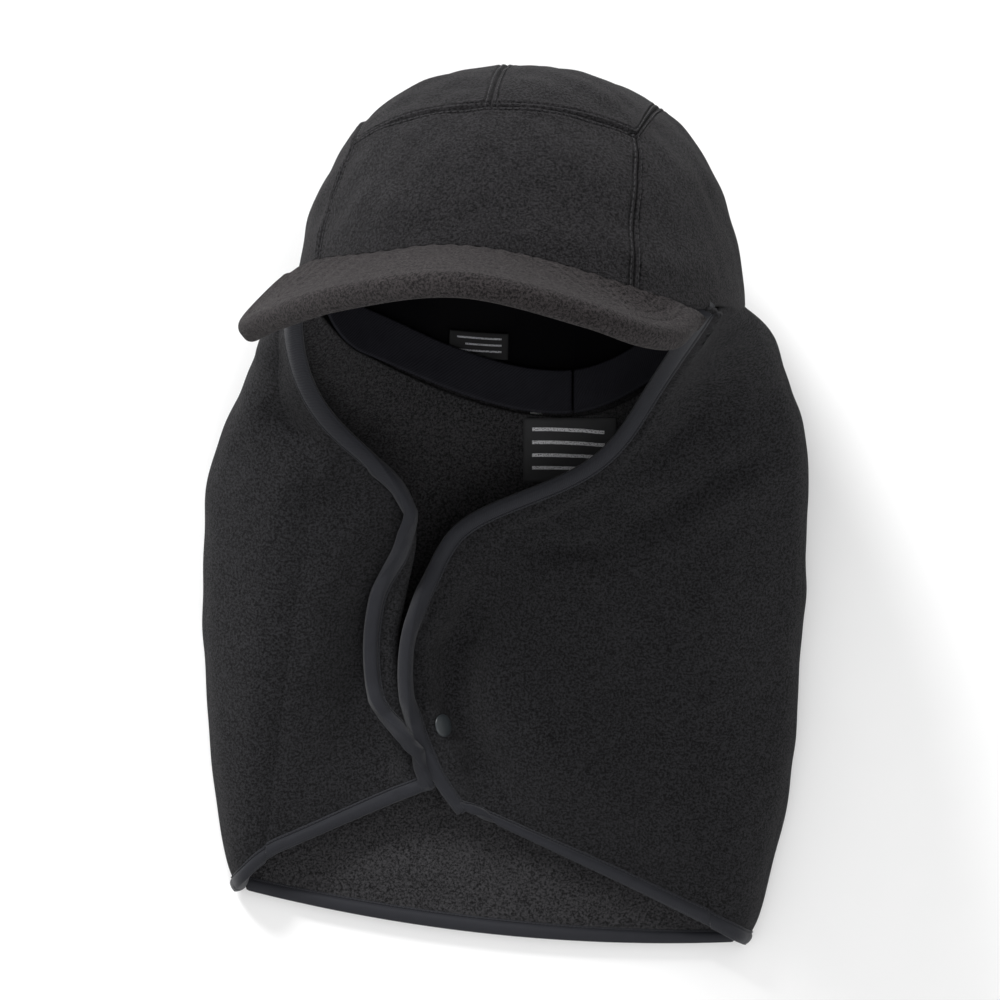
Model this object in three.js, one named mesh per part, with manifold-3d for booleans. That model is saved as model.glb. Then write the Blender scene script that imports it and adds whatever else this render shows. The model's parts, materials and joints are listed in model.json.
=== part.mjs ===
// Fleece hood: a five-panel cap with a curved visor and an attached neck cape that opens down the
// front. It lies on its back: +X is to the right seen from in front, +Y runs from the
// hem to the top of the crown, +Z runs from the back of the head to the visor. Millimetres.

import * as THREE from 'three';
import Module from 'manifold-3d';
import { mergeVertices } from 'three/addons/utils/BufferGeometryUtils.js';

// Driving dimensions -------------------------------------------------------------------------
const CROWN_HALF_WIDTH = 98;        // centre of the head to the outside of the side panels
const CROWN_HALF_DEPTH = 97;        // centre of the head to the outside of the front panel
const CROWN_HEIGHT = 118;           // base line to the top of the crown
const CROWN_SQUARENESS = 2.42;      // exponent of the crown's profile, 2 is an ellipse
const CROWN_CENTRE = [8.5, 69.5, 101.3];
const CROWN_PITCH = 15;             // degrees that the front of the base line tips up
const CROWN_YAW = 17;               // degrees that the front is turned towards -X
const CROWN_ROLL = 0.5;             // degrees that the top leans towards +X
const FLEECE = 2.6;                 // thickness of the outer cloth
const LINING = 0.8;
const INTERLINING = 0.6;
const BAND_THICKNESS = 1.4;
const BAND_HEIGHT = 21;
const GAP = 0.4;                    // left between pieces that are sewn together
const SEAM_AZIMUTH = 45;            // degrees from centre front to a side seam
const SIDE_SEAM_END = 166;          // where a side panel runs out at the back
const SEAM_RUN_OUT = 168;           // where the top panels reach the base line
const VISOR_GAP = 0.7;              // between the visor's layers, over their facets
const VISOR_AZIMUTH = 66;           // degrees from centre front to the end of the visor
const VISOR_BOARD = 2.4;
const VISOR_COVER = 3.4;
const VISOR_EDGE_INSET = 4.5;       // from the visor's outer edge to the board
const BINDING_WIDTH = 9;
const BINDING_WALL = 0.9;
const TAPE_GAP = 1.3;               // between a binding and the cloth inside it
const HINGE_GAP = 1.5;              // half the gap along a flap's hinge line
const SNAP_RADIUS = 5.4;
const SNAP_HEIGHT = 1.6;
const SNAP_POST_RADIUS = 1.6;
const SNAP_CLEARANCE = 1.5;         // between the snap's discs and the middle of a curved cloth's face
const SNAP_LEVEL = -98;             // y of the front edge beside the snap
const LABEL_THICKNESS = 0.5;
const SEAM_GAP_DEGREES = 0.16;      // half the gap between two crown panels
const LAYER_GAP = 1.7;              // between the layers of the crown, over their facets
const AZIMUTH_STEP = 15;            // degrees between the crown's facets
const VISOR_STATIONS = 24;          // facets along the visor
const FLAP_LENGTH = 170;            // lengths that the cape's rows are spaced for
const SIDE_LENGTH = 200;
const BACK_LENGTH = 250;
const SHOULDER = 0.22;              // share of the back over which it drops from the crown
const HEM_RISE = 0.8;               // share of a side or the back where it starts to lift for its hem tape
const HEM_RISE_SPAN = 0.12;
const SIDE_CLEARANCE = 8.5 * GAP;   // cut between the back of the cape and its sides
const SNAP_FACETS = 20;
const TRIM_TOLERANCE = 0.06;        // facets smaller than this are merged after a cut

const rad = THREE.MathUtils.degToRad;
const wasm = await Module();
wasm.setup();

// Finishes -----------------------------------------------------------------------------------
function cloth(name, colour, roughness, metalness = 0) {
  const material = new THREE.MeshStandardMaterial({ color: colour, roughness, metalness });
  material.name = name;
  return material;
}

const crownFleece = cloth('crown_fleece', 0x2e2b2a, 0.95);
const capeFleece = cloth('cape_fleece', 0x222223, 0.95);
const bindingKnit = cloth('binding_knit', 0x1f2029, 0.6);
const liningCloth = cloth('lining_cloth', 0x0d0d10, 0.7);
const bandKnit = cloth('band_knit', 0x16171c, 0.85);
const boardPlastic = cloth('board_plastic', 0xd8d8d4, 0.5);
const snapLacquer = cloth('snap_lacquer', 0x2a3233, 0.35, 0.4);
const snapSteel = cloth('snap_steel', 0x8a8c8e, 0.35, 0.9);
const labelTape = cloth('label_tape', 0x1a1a1c, 0.7);

// Mesh building ------------------------------------------------------------------------------
// Closed body from rings of points with equal counts: side quads between rings and a cap at each end,
// cut into the given triangles of ring indices.
function loft(rings, capTriangles) {
  const count = rings[0].length;
  const positions = [];
  const triangle = (a, b, c) => {
    const area = b.clone().sub(a).cross(c.clone().sub(a)).length();
    if (area > 1e-6) positions.push(a.x, a.y, a.z, b.x, b.y, b.z, c.x, c.y, c.z);
  };
  for (let i = 0; i + 1 < rings.length; i += 1) {
    for (let j = 0; j < count; j += 1) {
      const k = (j + 1) % count;
      triangle(rings[i][j], rings[i][k], rings[i + 1][k]);
      triangle(rings[i][j], rings[i + 1][k], rings[i + 1][j]);
    }
  }
  const first = rings[0];
  const last = rings[rings.length - 1];
  for (const [a, b, c] of capTriangles) {
    triangle(first[c], first[b], first[a]);
    triangle(last[a], last[b], last[c]);
  }
  return solid(positions);
}

// Cap of a ring that goes along a wall and comes back along its other face.
function wallCap(count) {
  const triangles = [];
  for (let j = 0; j + 1 < count / 2; j += 1) {
    triangles.push([j, j + 1, count - 2 - j], [j, count - 2 - j, count - 1 - j]);
  }
  return triangles;
}

// Cap of a plane outline, wound as the outline is.
function outlineCap(outline) {
  const flat = outline.map(([x, y]) => new THREE.Vector2(x, y));
  const turn = Math.sign(THREE.ShapeUtils.area(flat));
  return THREE.ShapeUtils.triangulateShape(flat, []).map(([a, b, c]) => (
    Math.sign(THREE.ShapeUtils.area([flat[a], flat[b], flat[c]])) === turn ? [a, b, c] : [c, b, a]));
}

// Merges shared points and turns every face outwards.
function solid(positions) {
  let geometry = new THREE.BufferGeometry();
  geometry.setAttribute('position', new THREE.Float32BufferAttribute(positions, 3));
  geometry = mergeVertices(geometry, 1e-4);
  if (volume(geometry) < 0) {
    const index = geometry.getIndex().array;
    for (let i = 0; i < index.length; i += 3) [index[i], index[i + 1]] = [index[i + 1], index[i]];
  }
  return geometry;
}

function volume(geometry) {
  const points = geometry.getAttribute('position');
  const index = geometry.getIndex().array;
  const [a, b, c] = [new THREE.Vector3(), new THREE.Vector3(), new THREE.Vector3()];
  let sum = 0;
  for (let i = 0; i < index.length; i += 3) {
    a.fromBufferAttribute(points, index[i]);
    b.fromBufferAttribute(points, index[i + 1]);
    c.fromBufferAttribute(points, index[i + 2]);
    sum += a.dot(b.cross(c)) / 6;
  }
  return sum;
}

// Grid of points surface(u, v) with a unit normal at each, rows along v.
function grid(surface, us, vs) {
  const points = vs.map((v) => us.map((u) => surface(u, v)));
  const normals = points.map((row, i) => row.map((point, j) => {
    const left = row[Math.max(j - 1, 0)];
    const right = row[Math.min(j + 1, row.length - 1)];
    const up = points[Math.max(i - 1, 0)][j];
    const down = points[Math.min(i + 1, points.length - 1)][j];
    return right.clone().sub(left).cross(down.clone().sub(up)).normalize();
  }));
  return { points, normals };
}

const offset = (net, i, j, distance) => net.points[i][j].clone()
  .addScaledVector(net.normals[i][j], distance);

// Cloth of a thickness whose middle follows the grid.
function sheet(net, thickness) {
  const there = net.points[0].map((_, j) => j);
  const back = there.slice().reverse();
  return loft(net.points.map((row, i) => [
    ...there.map((j) => offset(net, i, j, thickness / 2)),
    ...back.map((j) => offset(net, i, j, -thickness / 2)),
  ]), wallCap(there.length * 2));
}

// Folded tape round the last columns of a grid, clear of the cloth inside it. Its section is a U with
// bevelled outer corners, given as [columns from the edge, how far past the edge, how far off the
// middle of the cloth].
function tape(net, rows, firstColumn) {
  const last = net.points[0].length - 1;
  const inside = FLEECE / 2 + TAPE_GAP;
  const outside = inside + BINDING_WALL;
  const columns = range(firstColumn - last, -1, last - 1 - firstColumn);
  const reach = GAP + BINDING_WALL;
  const section = [
    ...columns.map((j) => [j, 0, outside]),
    [0, GAP, outside], [0, reach, inside], [0, reach, -inside], [0, GAP, -outside],
    ...columns.map((j) => [j, 0, -outside]).reverse(),
    ...columns.map((j) => [j, 0, -inside]),
    [0, 0, -inside], [0, GAP, -inside / 2], [0, GAP, inside / 2], [0, 0, inside],
    ...columns.map((j) => [j, 0, inside]).reverse(),
  ];
  return loft(rows.map((i) => {
    const away = net.points[i][last].clone().sub(net.points[i][last - 1]).normalize();
    return section.map(([j, past, side]) => offset(net, i, last + j, side).addScaledVector(away, past));
  }), wallCap(section.length));
}

const range = (from, to, steps) => Array.from({ length: steps + 1 },
  (_, i) => from + (to - from) * i / steps);
const smooth = (x) => { const t = Math.min(Math.max(x, 0), 1); return t * t * (3 - 2 * t); };
const curve = (points) => new THREE.CatmullRomCurve3(
  points.map((p) => new THREE.Vector3(...p)), false, 'centripetal');

// Crown --------------------------------------------------------------------------------------
// Azimuth is measured round the crown from centre front, positive towards +X. The base line rises
// and dips round the head, and the panels' top edges fall towards the back: [azimuth, height].
const BASE_LINE = [[-180, 0], [-105, 21], [-66, 26], [-12, 13], [60, -6], [106, 7], [180, 0]];
const PANEL_TOP = [[0, 75], [45, 66], [75, 82], [105, 90], [135, 74], [166, 6], [168, 0], [180, 0]];

// Height at an azimuth, easing from one station of a list to the next.
function station(list, azimuth) {
  let i = 0;
  while (i + 2 < list.length && azimuth > list[i + 1][0]) i += 1;
  const [[from, low], [to, high]] = [list[i], list[i + 1]];
  return low + (high - low) * smooth((azimuth - from) / (to - from));
}
const baseHeight = (azimuth) => station(BASE_LINE, azimuth);

// Angle up the crown's profile, in degrees, at which the outside reaches a height.
function riseTo(height) {
  const share = Math.min(Math.abs(height) / CROWN_HEIGHT, 1);
  return Math.sign(height) * Math.asin(share ** (CROWN_SQUARENESS / 2)) / rad(1);
}

// Point of the crown at an azimuth and rise, a distance inside its outer face.
function crownPoint(azimuth, rise, inset) {
  const power = 2 / CROWN_SQUARENESS;
  const level = Math.abs(Math.cos(rad(rise))) ** power;
  const up = Math.sign(rise) * Math.abs(Math.sin(rad(rise))) ** power;
  return new THREE.Vector3((CROWN_HALF_WIDTH - inset) * Math.sin(rad(azimuth)) * level,
    (CROWN_HEIGHT - inset) * up,
    (CROWN_HALF_DEPTH - inset) * Math.cos(rad(azimuth)) * level);
}

// Azimuths from one to another, by way of the stations that every layer of the crown shares.
function azimuths(from, to) {
  const sign = Math.sign(to - from);
  const shared = range(-180, 180, 360 / AZIMUTH_STEP);
  if (sign < 0) shared.reverse();
  const within = shared.filter((a) => sign * (a - from) > 1 && sign * (to - a) > 1);
  return [from, ...within, to];
}

// Grid over a list of azimuths, from a lower to an upper rise, offset sideways by shift.
function crownGrid(list, lower, upper, inset, steps, shift = 0) {
  const points = range(0, 1, steps).map((v) => list.map((azimuth) => crownPoint(azimuth,
    lower(azimuth) + (upper(azimuth) - lower(azimuth)) * v, inset)));
  const normals = points.map((row) => row.map((point) => point.clone().normalize()));
  points.forEach((row) => row.forEach((point) => { point.x += shift; }));
  return { points, normals };
}

// Rise of a line in the crown for each azimuth.
const baseRise = (azimuth) => riseTo(baseHeight(azimuth));
const panelRise = (azimuth) => riseTo(Math.max(station(PANEL_TOP, Math.abs(azimuth)),
  baseHeight(azimuth)));
const apex = () => 90;

const hood = new THREE.Group();
const crown = new THREE.Group();
crown.position.set(...CROWN_CENTRE);
crown.rotation.set(rad(-CROWN_PITCH), rad(-CROWN_YAW), rad(-CROWN_ROLL), 'ZXY');
crown.updateMatrix();

function add(group, name, geometry, material) {
  const mesh = new THREE.Mesh(geometry, material);
  mesh.name = name;
  group.add(mesh);
}

function addCrownPanels() {
  const inset = FLEECE / 2;
  const seam = SEAM_GAP_DEGREES;
  const below = (azimuth) => panelRise(azimuth) - seam;
  const above = (azimuth) => panelRise(azimuth) + seam;
  const front = azimuths(seam - SEAM_AZIMUTH, SEAM_AZIMUTH - seam);
  add(crown, 'front_panel', sheet(crownGrid(front, baseRise, below, inset, 4), FLEECE), crownFleece);
  for (const [side, sign] of [['left', -1], ['right', 1]]) {
    const flank = azimuths(sign * (SEAM_AZIMUTH + seam), sign * (SIDE_SEAM_END - seam));
    add(crown, `side_panel_${side}`, sheet(crownGrid(flank, baseRise, below, inset, 5), FLEECE),
      crownFleece);
    const half = [...azimuths(0, sign * SIDE_SEAM_END), ...azimuths(sign * SEAM_RUN_OUT, sign * 180)];
    add(crown, `top_panel_${side}`,
      sheet(crownGrid(half, above, apex, inset, 6, sign * GAP / 2), FLEECE), crownFleece);
  }
}

function addCrownInside() {
  const seam = SEAM_GAP_DEGREES;
  const stiffInset = FLEECE + LAYER_GAP + INTERLINING / 2;
  const lineInset = stiffInset + INTERLINING / 2 + LAYER_GAP + LINING / 2;
  const bandInset = lineInset + LINING / 2 + LAYER_GAP * 1.9 + BAND_THICKNESS / 2;
  const labelInset = lineInset + LINING / 2 + LAYER_GAP + LABEL_THICKNESS / 2;
  const hem = (azimuth) => riseTo(baseHeight(azimuth) + 2);
  const below = (azimuth) => panelRise(azimuth) - 2 * seam;
  const lower = (azimuth) => (Math.abs(azimuth) <= SEAM_AZIMUTH ? panelRise(azimuth) + 2 * seam
    : hem(azimuth));
  const front = azimuths(seam - SEAM_AZIMUTH, SEAM_AZIMUTH - seam);
  add(crown, 'front_interlining', sheet(crownGrid(front, hem, below, stiffInset, 4), INTERLINING),
    liningCloth);
  add(crown, 'lining_front', sheet(crownGrid(front, hem, below, lineInset, 4), LINING), liningCloth);
  for (const [side, sign] of [['left', -1], ['right', 1]]) {
    const over = [...azimuths(0, sign * SEAM_AZIMUTH), ...azimuths(sign * (SEAM_AZIMUTH + 4 * seam),
      sign * 180)];
    add(crown, `lining_${side}`, sheet(crownGrid(over, lower, apex, lineInset, 6, sign * GAP / 2),
      LINING), liningCloth);
  }
  add(crown, 'sweatband', sheet(crownGrid(azimuths(-179.4, 179.4), baseRise,
    (azimuth) => riseTo(baseHeight(azimuth) + BAND_HEIGHT), bandInset, 2), BAND_THICKNESS), bandKnit);
  add(crown, 'size_label', sheet(crownGrid(azimuths(-160, -142),
    () => riseTo(BAND_HEIGHT + 7), () => riseTo(BAND_HEIGHT + 20), labelInset, 2), LABEL_THICKNESS),
  labelTape);
}

// Visor --------------------------------------------------------------------------------------
// Outer edge of the visor's top face from one end of its root, round the front, to the other.
const VISOR_EDGE = curve([[-95, 97, 114], [-112, 74, 142], [-98, 77, 176], [-68, 84, 215],
  [-14, 88, 247], [40, 76, 236], [72, 67, 214], [85, 68, 190], [98, 72, 170]]);

function addVisor() {
  // Section of the visor at s from -1 to 1: outward direction, downward direction and width.
  const place = (s) => {
    const azimuth = VISOR_AZIMUTH * s;
    const root = crownPoint(azimuth, riseTo(baseHeight(azimuth) - GAP), -GAP).applyMatrix4(crown.matrix);
    return { root, edge: VISOR_EDGE.getPoint((s + 1) / 2) };
  };
  const frame = (s) => {
    const here = place(s);
    const next = place(Math.min(s + 0.04, 1));
    const before = place(Math.max(s - 0.04, -1));
    const out = here.edge.clone().sub(here.root);
    const width = out.length();
    out.normalize();
    const along = next.root.clone().add(next.edge).sub(before.root).sub(before.edge).normalize();
    const down = along.cross(out).normalize();
    if (down.y > 0) down.negate();
    return { ...here, out, down, width };
  };
  const total = VISOR_COVER * 2 + VISOR_BOARD + VISOR_GAP * 2;
  const section = (s, outline) => {
    const { root, out, down, width } = frame(s);
    return outline(width).map(([x, y]) => root.clone().addScaledVector(out, x).addScaledVector(down, y));
  };
  const stations = range(-1, 1, VISOR_STATIONS);
  const build = (name, where, outline, material) => {
    add(hood, name, loft(where.map((s) => section(s, outline)), outlineCap(outline(50))), material);
  };
  // Points across a face between two distances, and a bow that keeps them from lying in line.
  const across = (from, to, y) => range(from, to, 4).map((x, i) => [x, y - 0.05 * i * (4 - i)]);
  const round = VISOR_COVER * 0.6;
  build('visor_top_cover', stations, (width) => [...across(0, width - round, 0),
    [width, round], [width, total - round], [width - round, total], [width - VISOR_COVER, total],
    ...across(width - VISOR_COVER, 0, VISOR_COVER)], crownFleece);
  build('visor_under_cover', stations, (width) => {
    const end = width - VISOR_COVER - VISOR_GAP;
    return [...across(0, end, total - VISOR_COVER), ...across(end, 0, total)];
  }, crownFleece);
  build('visor_board', stations.filter((s) => Math.abs(s) < 0.9), (width) => {
    const end = width - Math.min(VISOR_EDGE_INSET, width * 0.3);
    const top = VISOR_COVER + VISOR_GAP;
    return [...across(1.5, end, top), ...across(end, 1.5, top + VISOR_BOARD)];
  }, boardPlastic);
}

// Cape ---------------------------------------------------------------------------------------
// Each half of the cape's front is ruled between two lines that run down it: a fixed side from the
// side fold to the hinge line, and a flap from the hinge line to its front edge.
const ring = (azimuth) => crownPoint(azimuth, riseTo(baseHeight(azimuth) - 3), FLEECE / 2)
  .applyMatrix4(crown.matrix);
const vector = (p) => new THREE.Vector3(...p);

const LEFT = {
  name: 'left',
  visorEnd: -68,
  foldTop: -80,
  fold: [[-99, 80, 74], [-108, 68, 58], [-116, 50, 44], [-127, 26, 34], [-134, 2, 27], [-135.5, -32, 21],
    [-135, -77, 16], [-133, -116, 14], [-130, -140, 13], [-125.5, -166, 12.5], [-121, -180, 12]],
  cheek: [[-88, 73, 90], [-86, 59, 77]],
  hinge: [[-83, 45, 64], [-109.5, -164, 16]],
  edge: [[-78, 40, 60.5], [-63.5, 25.5, 52], [-46, 9, 43], [-40, -4, 38], [-39, -18, 31], [-42.5, -36, 24],
    [-47, -54, 20], [-48.5, -72, 17], [-47, -88, 16], [-43, -104, 15], [-36, -118, 14.5], [-30.5, -131, 14]],
  hollow: 2,
};
const RIGHT = {
  name: 'right',
  visorEnd: 69,
  foldTop: 104,
  fold: [[118, 74, 86], [125, 62, 68], [131, 48, 54], [137, 27, 44], [140, 2, 36], [140, -28, 28],
    [138.5, -56, 22], [136, -94, 17], [134, -120, 15], [131.5, -144, 14], [126, -165, 13],
    [117.5, -196, 12], [112, -204, 12]],
  cheek: [[76, 66, 96], [69, 56, 80]],
  hinge: [[64.5, 44.5, 66], [97.5, -195, 16]],
  edge: [[60, 40, 63.5], [51, 26, 57], [32, 10.5, 46], [10, 2.5, 39], [-7, -1.5, 35], [-22, -13, 32],
    [-32, -31, 28], [-40, -51, 24], [-44, -72, 22], [-43.5, -92, 21], [-38.5, -108, 20], [-30, -123, 17],
    [-17, -139, 15]],
  hollow: 9,
};
const FOLD_BULGE = 5;               // how far the sides of the cape swell

// Point of a line that falls steadily in y, at a height y.
function atLevel(line, y) {
  let [low, high] = [0, 1];
  for (let i = 0; i < 24; i += 1) {
    const middle = (low + high) / 2;
    if (line.getPoint(middle).y > y) low = middle;
    else high = middle;
  }
  return line.getPoint((low + high) / 2);
}

// Share of the way down a line for a row, at v from 0 to 1.
const down = (line, v) => {
  const [top, bottom] = [line.getPoint(0).y, line.getPoint(1).y];
  return v <= 0 ? line.getPoint(0) : v >= 1 ? line.getPoint(1) : atLevel(line, top + (bottom - top) * v);
};

// Shares for a piece's rows: even steps, then the rows that its hem tape needs.
const hemRows = (length, steps) => [...range(0, 1 - (BINDING_WIDTH + 1.6) / length, steps),
  1 - BINDING_WIDTH / length, 1 - BINDING_WIDTH / 2 / length, 1];

function netOf(points) {
  const { normals } = grid((u, v) => points[v][u], points[0].map((_, j) => j), points.map((_, i) => i));
  return { points, normals };
}
const turnedNet = (net) => {
  const flip = (rows) => rows[0].map((_, j) => rows.map((row) => row[j]));
  return { points: flip(net.points), normals: flip(net.normals) };
};
const indices = (from, to) => range(from, to, to - from);

// Flap: rows from the hinge line to the front edge, with a hollow just inside the front binding.
function flapNet(half) {
  const edge = curve(half.edge);
  const [hingeTop, hingeEnd] = half.hinge.map(vector);
  const points = hemRows(FLAP_LENGTH, 13).map((v) => {
    const start = hingeTop.clone().lerp(hingeEnd, 0.02 + 0.98 * v);
    const end = down(edge, v);
    const width = end.distanceTo(start);
    const binding = Math.min(BINDING_WIDTH, width * 0.5);
    const middle = smooth((-10 - end.y) / 50) * smooth((end.y + 140) / 30);
    const sag = (distance) => smooth((distance - binding) / 10) * smooth((width - distance) / 40)
      * (half.hollow * middle * Math.exp(-(((distance - 22) / 14) ** 2)) + 3);
    const inner = [1, 0.96, 0.76, 0.54, 0.35, 0.18, 0].map((share) => binding
      + share * (width - binding - HINGE_GAP));
    return [...inner, binding / 2, 0].map((distance) => {
      const point = end.clone().lerp(start, distance / width);
      point.z -= sag(distance);
      return point;
    });
  });
  return netOf(points);
}

// Lift of a side or the back near its hem, which leaves room for the tape below it.
const hemLift = (v) => (TAPE_GAP + BINDING_WALL) * smooth((v - HEM_RISE) / HEM_RISE_SPAN);

// Height of the back's side edge in a row: it drops from the crown to the surface it lies on.
const backLevel = (foldHeight, v) => foldHeight - 4
  + (FLEECE / 2 - foldHeight + 4) * smooth(v / SHOULDER);

// Fixed side: rows from the side fold to the face opening and, below it, the hinge line.
function sideNet(half) {
  const fold = curve([ring(half.foldTop).toArray(), ...half.fold]);
  const inner = curve([ring(half.visorEnd).toArray(), ...half.cheek, ...half.hinge]);
  const top = inner.getPoint(0).y;
  const split = (top - half.hinge[0][1]) / (top - half.hinge[1][1]);
  const rows = [...range(0, split, 4), ...hemRows(SIDE_LENGTH, 11).filter((v) => v > split + 0.03)];
  const points = rows.map((v) => {
    const start = down(fold, v);
    const end = down(inner, v);
    const width = start.distanceTo(end);
    const last = width - HINGE_GAP;
    const binding = v <= split ? Math.min(BINDING_WIDTH, width * 0.4) : width * 0.2;
    const foot = start.clone();
    foot.z = backLevel(start.z, v) + 0.6 + hemLift(v);
    const wall = [foot, foot.clone().lerp(start, 0.6)];
    const stops = [0, (last - binding) * 0.3, (last - binding) * 0.65, last - binding,
      last - binding / 2, last];
    return [...wall, ...stops.map((stop) => {
      const share = stop / width;
      const point = start.clone().lerp(end, share);
      point.z += FOLD_BULGE * smooth(width / 40) * 4 * share * (1 - share);
      return point;
    })];
  });
  return { net: netOf(points), faceRows: 4 };
}

function addCapeFront() {
  const clearCloth = FLEECE + 2 * GAP;
  for (const half of [LEFT, RIGHT]) {
    const { name } = half;
    const flap = flapNet(half);
    const side = sideNet(half);
    const rows = flap.points.length;
    const columns = flap.points[0].length;
    const snap = snapPlace(flap);
    add(hood, `flap_${name}`, drill(sheet(flap, FLEECE), snap), capeFleece);
    addSnap(name, snap);
    add(hood, `front_binding_${name}`, tape(flap, indices(1, rows - 4), columns - 3), bindingKnit);
    const flapHem = tape(turnedNet(flap), indices(1, columns - 1), rows - 3);
    add(hood, `flap_hem_binding_${name}`, trim(flapHem, sheet(flap, clearCloth)), bindingKnit);
    add(hood, `side_${name}`, sheet(side.net, FLEECE), capeFleece);
    add(hood, `face_binding_${name}`, tape(side.net, indices(1, side.faceRows), 5), bindingKnit);
    const sideRows = side.net.points.length;
    const sideHem = tape(turnedNet(side.net), indices(1, 6), sideRows - 3);
    add(hood, `side_hem_binding_${name}`, trim(sideHem, sheet(side.net, clearCloth)), bindingKnit);
  }
}

// Snap fastener ------------------------------------------------------------------------------
// Middle of the cloth and outward normal where a flap's snap sits, just inside its binding.
function snapPlace(net) {
  const level = net.points.findIndex((row) => row[row.length - 1].y < SNAP_LEVEL);
  const row = net.points[level];
  const first = row.length - 3;
  const along = row[first - 1].clone().sub(row[first]);
  const point = row[first].clone().addScaledVector(along, (SNAP_RADIUS + 2) / along.length());
  const across = net.points[level + 1][first - 1].clone().sub(net.points[level - 1][first - 1]);
  const normal = along.clone().cross(across).normalize();
  if (normal.z < 0) normal.negate();
  return { point, normal };
}

// Closed turned part with its axis along the snap's, starting at a distance from the cloth's middle.
function turned(profile, { point, normal }, start) {
  const geometry = new THREE.LatheGeometry(profile.map(([r, y]) => new THREE.Vector2(r, y)), SNAP_FACETS);
  const turn = new THREE.Quaternion().setFromUnitVectors(new THREE.Vector3(0, 1, 0), normal);
  geometry.applyQuaternion(turn);
  geometry.translate(...point.clone().addScaledVector(normal, start).toArray());
  geometry.deleteAttribute('normal');
  geometry.deleteAttribute('uv');
  return solid([...geometry.toNonIndexed().getAttribute('position').array]);
}

function toManifold(geometry) {
  const vertProperties = new Float32Array(geometry.getAttribute('position').array);
  const triVerts = new Uint32Array(geometry.getIndex().array);
  return new wasm.Manifold(new wasm.Mesh({ numProp: 3, vertProperties, triVerts }));
}

// Largest body left of a piece when another is cut away from it.
function trim(geometry, cutter) {
  const bodies = toManifold(geometry).subtract(toManifold(cutter)).decompose();
  const largest = bodies.reduce((best, body) => (body.volume() > best.volume() ? body : best));
  const { vertProperties, triVerts } = largest.asOriginal().simplify(TRIM_TOLERANCE).getMesh();
  const cut = new THREE.BufferGeometry();
  cut.setAttribute('position', new THREE.BufferAttribute(vertProperties, 3));
  cut.setIndex(new THREE.BufferAttribute(triVerts, 1));
  return cut;
}

// Cloth with a hole for the snap's post.
function drill(geometry, place) {
  const radius = SNAP_POST_RADIUS + GAP;
  return trim(geometry, turned([[0, -FLEECE * 1.5], [radius, -FLEECE * 1.5], [radius, FLEECE * 1.5],
    [0, FLEECE * 1.5]], place, 0));
}

// The right flap carries the cap outside and the socket inside, the left flap the stud and its back.
function addSnap(name, place) {
  const clear = FLEECE / 2 + SNAP_CLEARANCE;
  const post = [[0, -2 * clear], [SNAP_POST_RADIUS, -2 * clear], [SNAP_POST_RADIUS, 0]];
  const dome = [[SNAP_RADIUS, 0], [SNAP_RADIUS, SNAP_HEIGHT * 0.35], [SNAP_RADIUS * 0.86, SNAP_HEIGHT * 0.8],
    [SNAP_RADIUS * 0.55, SNAP_HEIGHT], [0, SNAP_HEIGHT]];
  const seat = SNAP_RADIUS * 0.92;
  const disc = [[0, 0], [seat, 0], [seat, SNAP_HEIGHT * 0.8], [0, SNAP_HEIGHT * 0.8]];
  if (name === 'right') {
    add(hood, 'snap_cap', turned([...post, ...dome], place, clear), snapLacquer);
    add(hood, 'snap_socket', turned([[0, 0], [seat, 0], [seat, SNAP_HEIGHT], [0, SNAP_HEIGHT]], place,
      -clear - GAP - SNAP_HEIGHT), snapSteel);
    return;
  }
  add(hood, 'snap_stud', turned([...disc.slice(0, 3), [SNAP_RADIUS * 0.4, SNAP_HEIGHT * 0.8],
    [SNAP_RADIUS * 0.36, SNAP_HEIGHT * 1.5], [0, SNAP_HEIGHT * 1.5]], place, clear), snapSteel);
  add(hood, 'snap_back', turned([[0, 0], [seat, 0], [seat, SNAP_HEIGHT * 0.6],
    [SNAP_POST_RADIUS, SNAP_HEIGHT * 0.6], [SNAP_POST_RADIUS, SNAP_HEIGHT * 0.6 + 2 * clear - GAP],
    [0, SNAP_HEIGHT * 0.6 + 2 * clear - GAP]], place, -clear - SNAP_HEIGHT * 0.6), snapSteel);
}

// Back: rows from the left fold, across the surface the hood lies on, to the right fold.
const BACK_COLUMNS = 14;
const BACK_ROWS = [0, 0.04, 0.09, 0.15, 0.22, ...hemRows(BACK_LENGTH, 8).filter((v) => v > 0.26)];
const BACK_INSET = FLEECE * 1.6;    // from a fold line to the edge of the back
const HEM_BOW = 8;                  // how far the back's hem bows down in the middle
const [leftFold, rightFold] = [LEFT, RIGHT].map((half) => curve([ring(half.foldTop).toArray(),
  ...half.fold]));

function backPoint(u, v) {
  const start = LEFT.foldTop - 2.5;
  const span = 360 - RIGHT.foldTop - 2.5 + start;
  const high = ring(((start - span * u + 540) % 360) - 180);
  const [from, to] = [down(leftFold, v), down(rightFold, v)];
  const foot = leftFold.getPoint(1).lerp(rightFold.getPoint(1), u);
  const inset = BACK_INSET * smooth(v / 0.1);
  const fall = smooth(v / SHOULDER);
  const edge = Math.abs(2 * u - 1);
  const x = from.x + inset + (to.x - from.x - 2 * inset) * u;
  const point = new THREE.Vector3();
  point.x = high.x + (x - high.x) * Math.max(fall, edge ** 3);
  point.y = high.y + (foot.y - HEM_BOW * (1 - edge ** 2) - high.y) * v;
  const lift = hemLift(v);
  point.z = high.z + (FLEECE / 2 - high.z) * fall + lift;
  if (u === 0) point.z = backLevel(from.z, v) + lift;
  if (u === 1) point.z = backLevel(to.z, v) + lift;
  return point;
}

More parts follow.
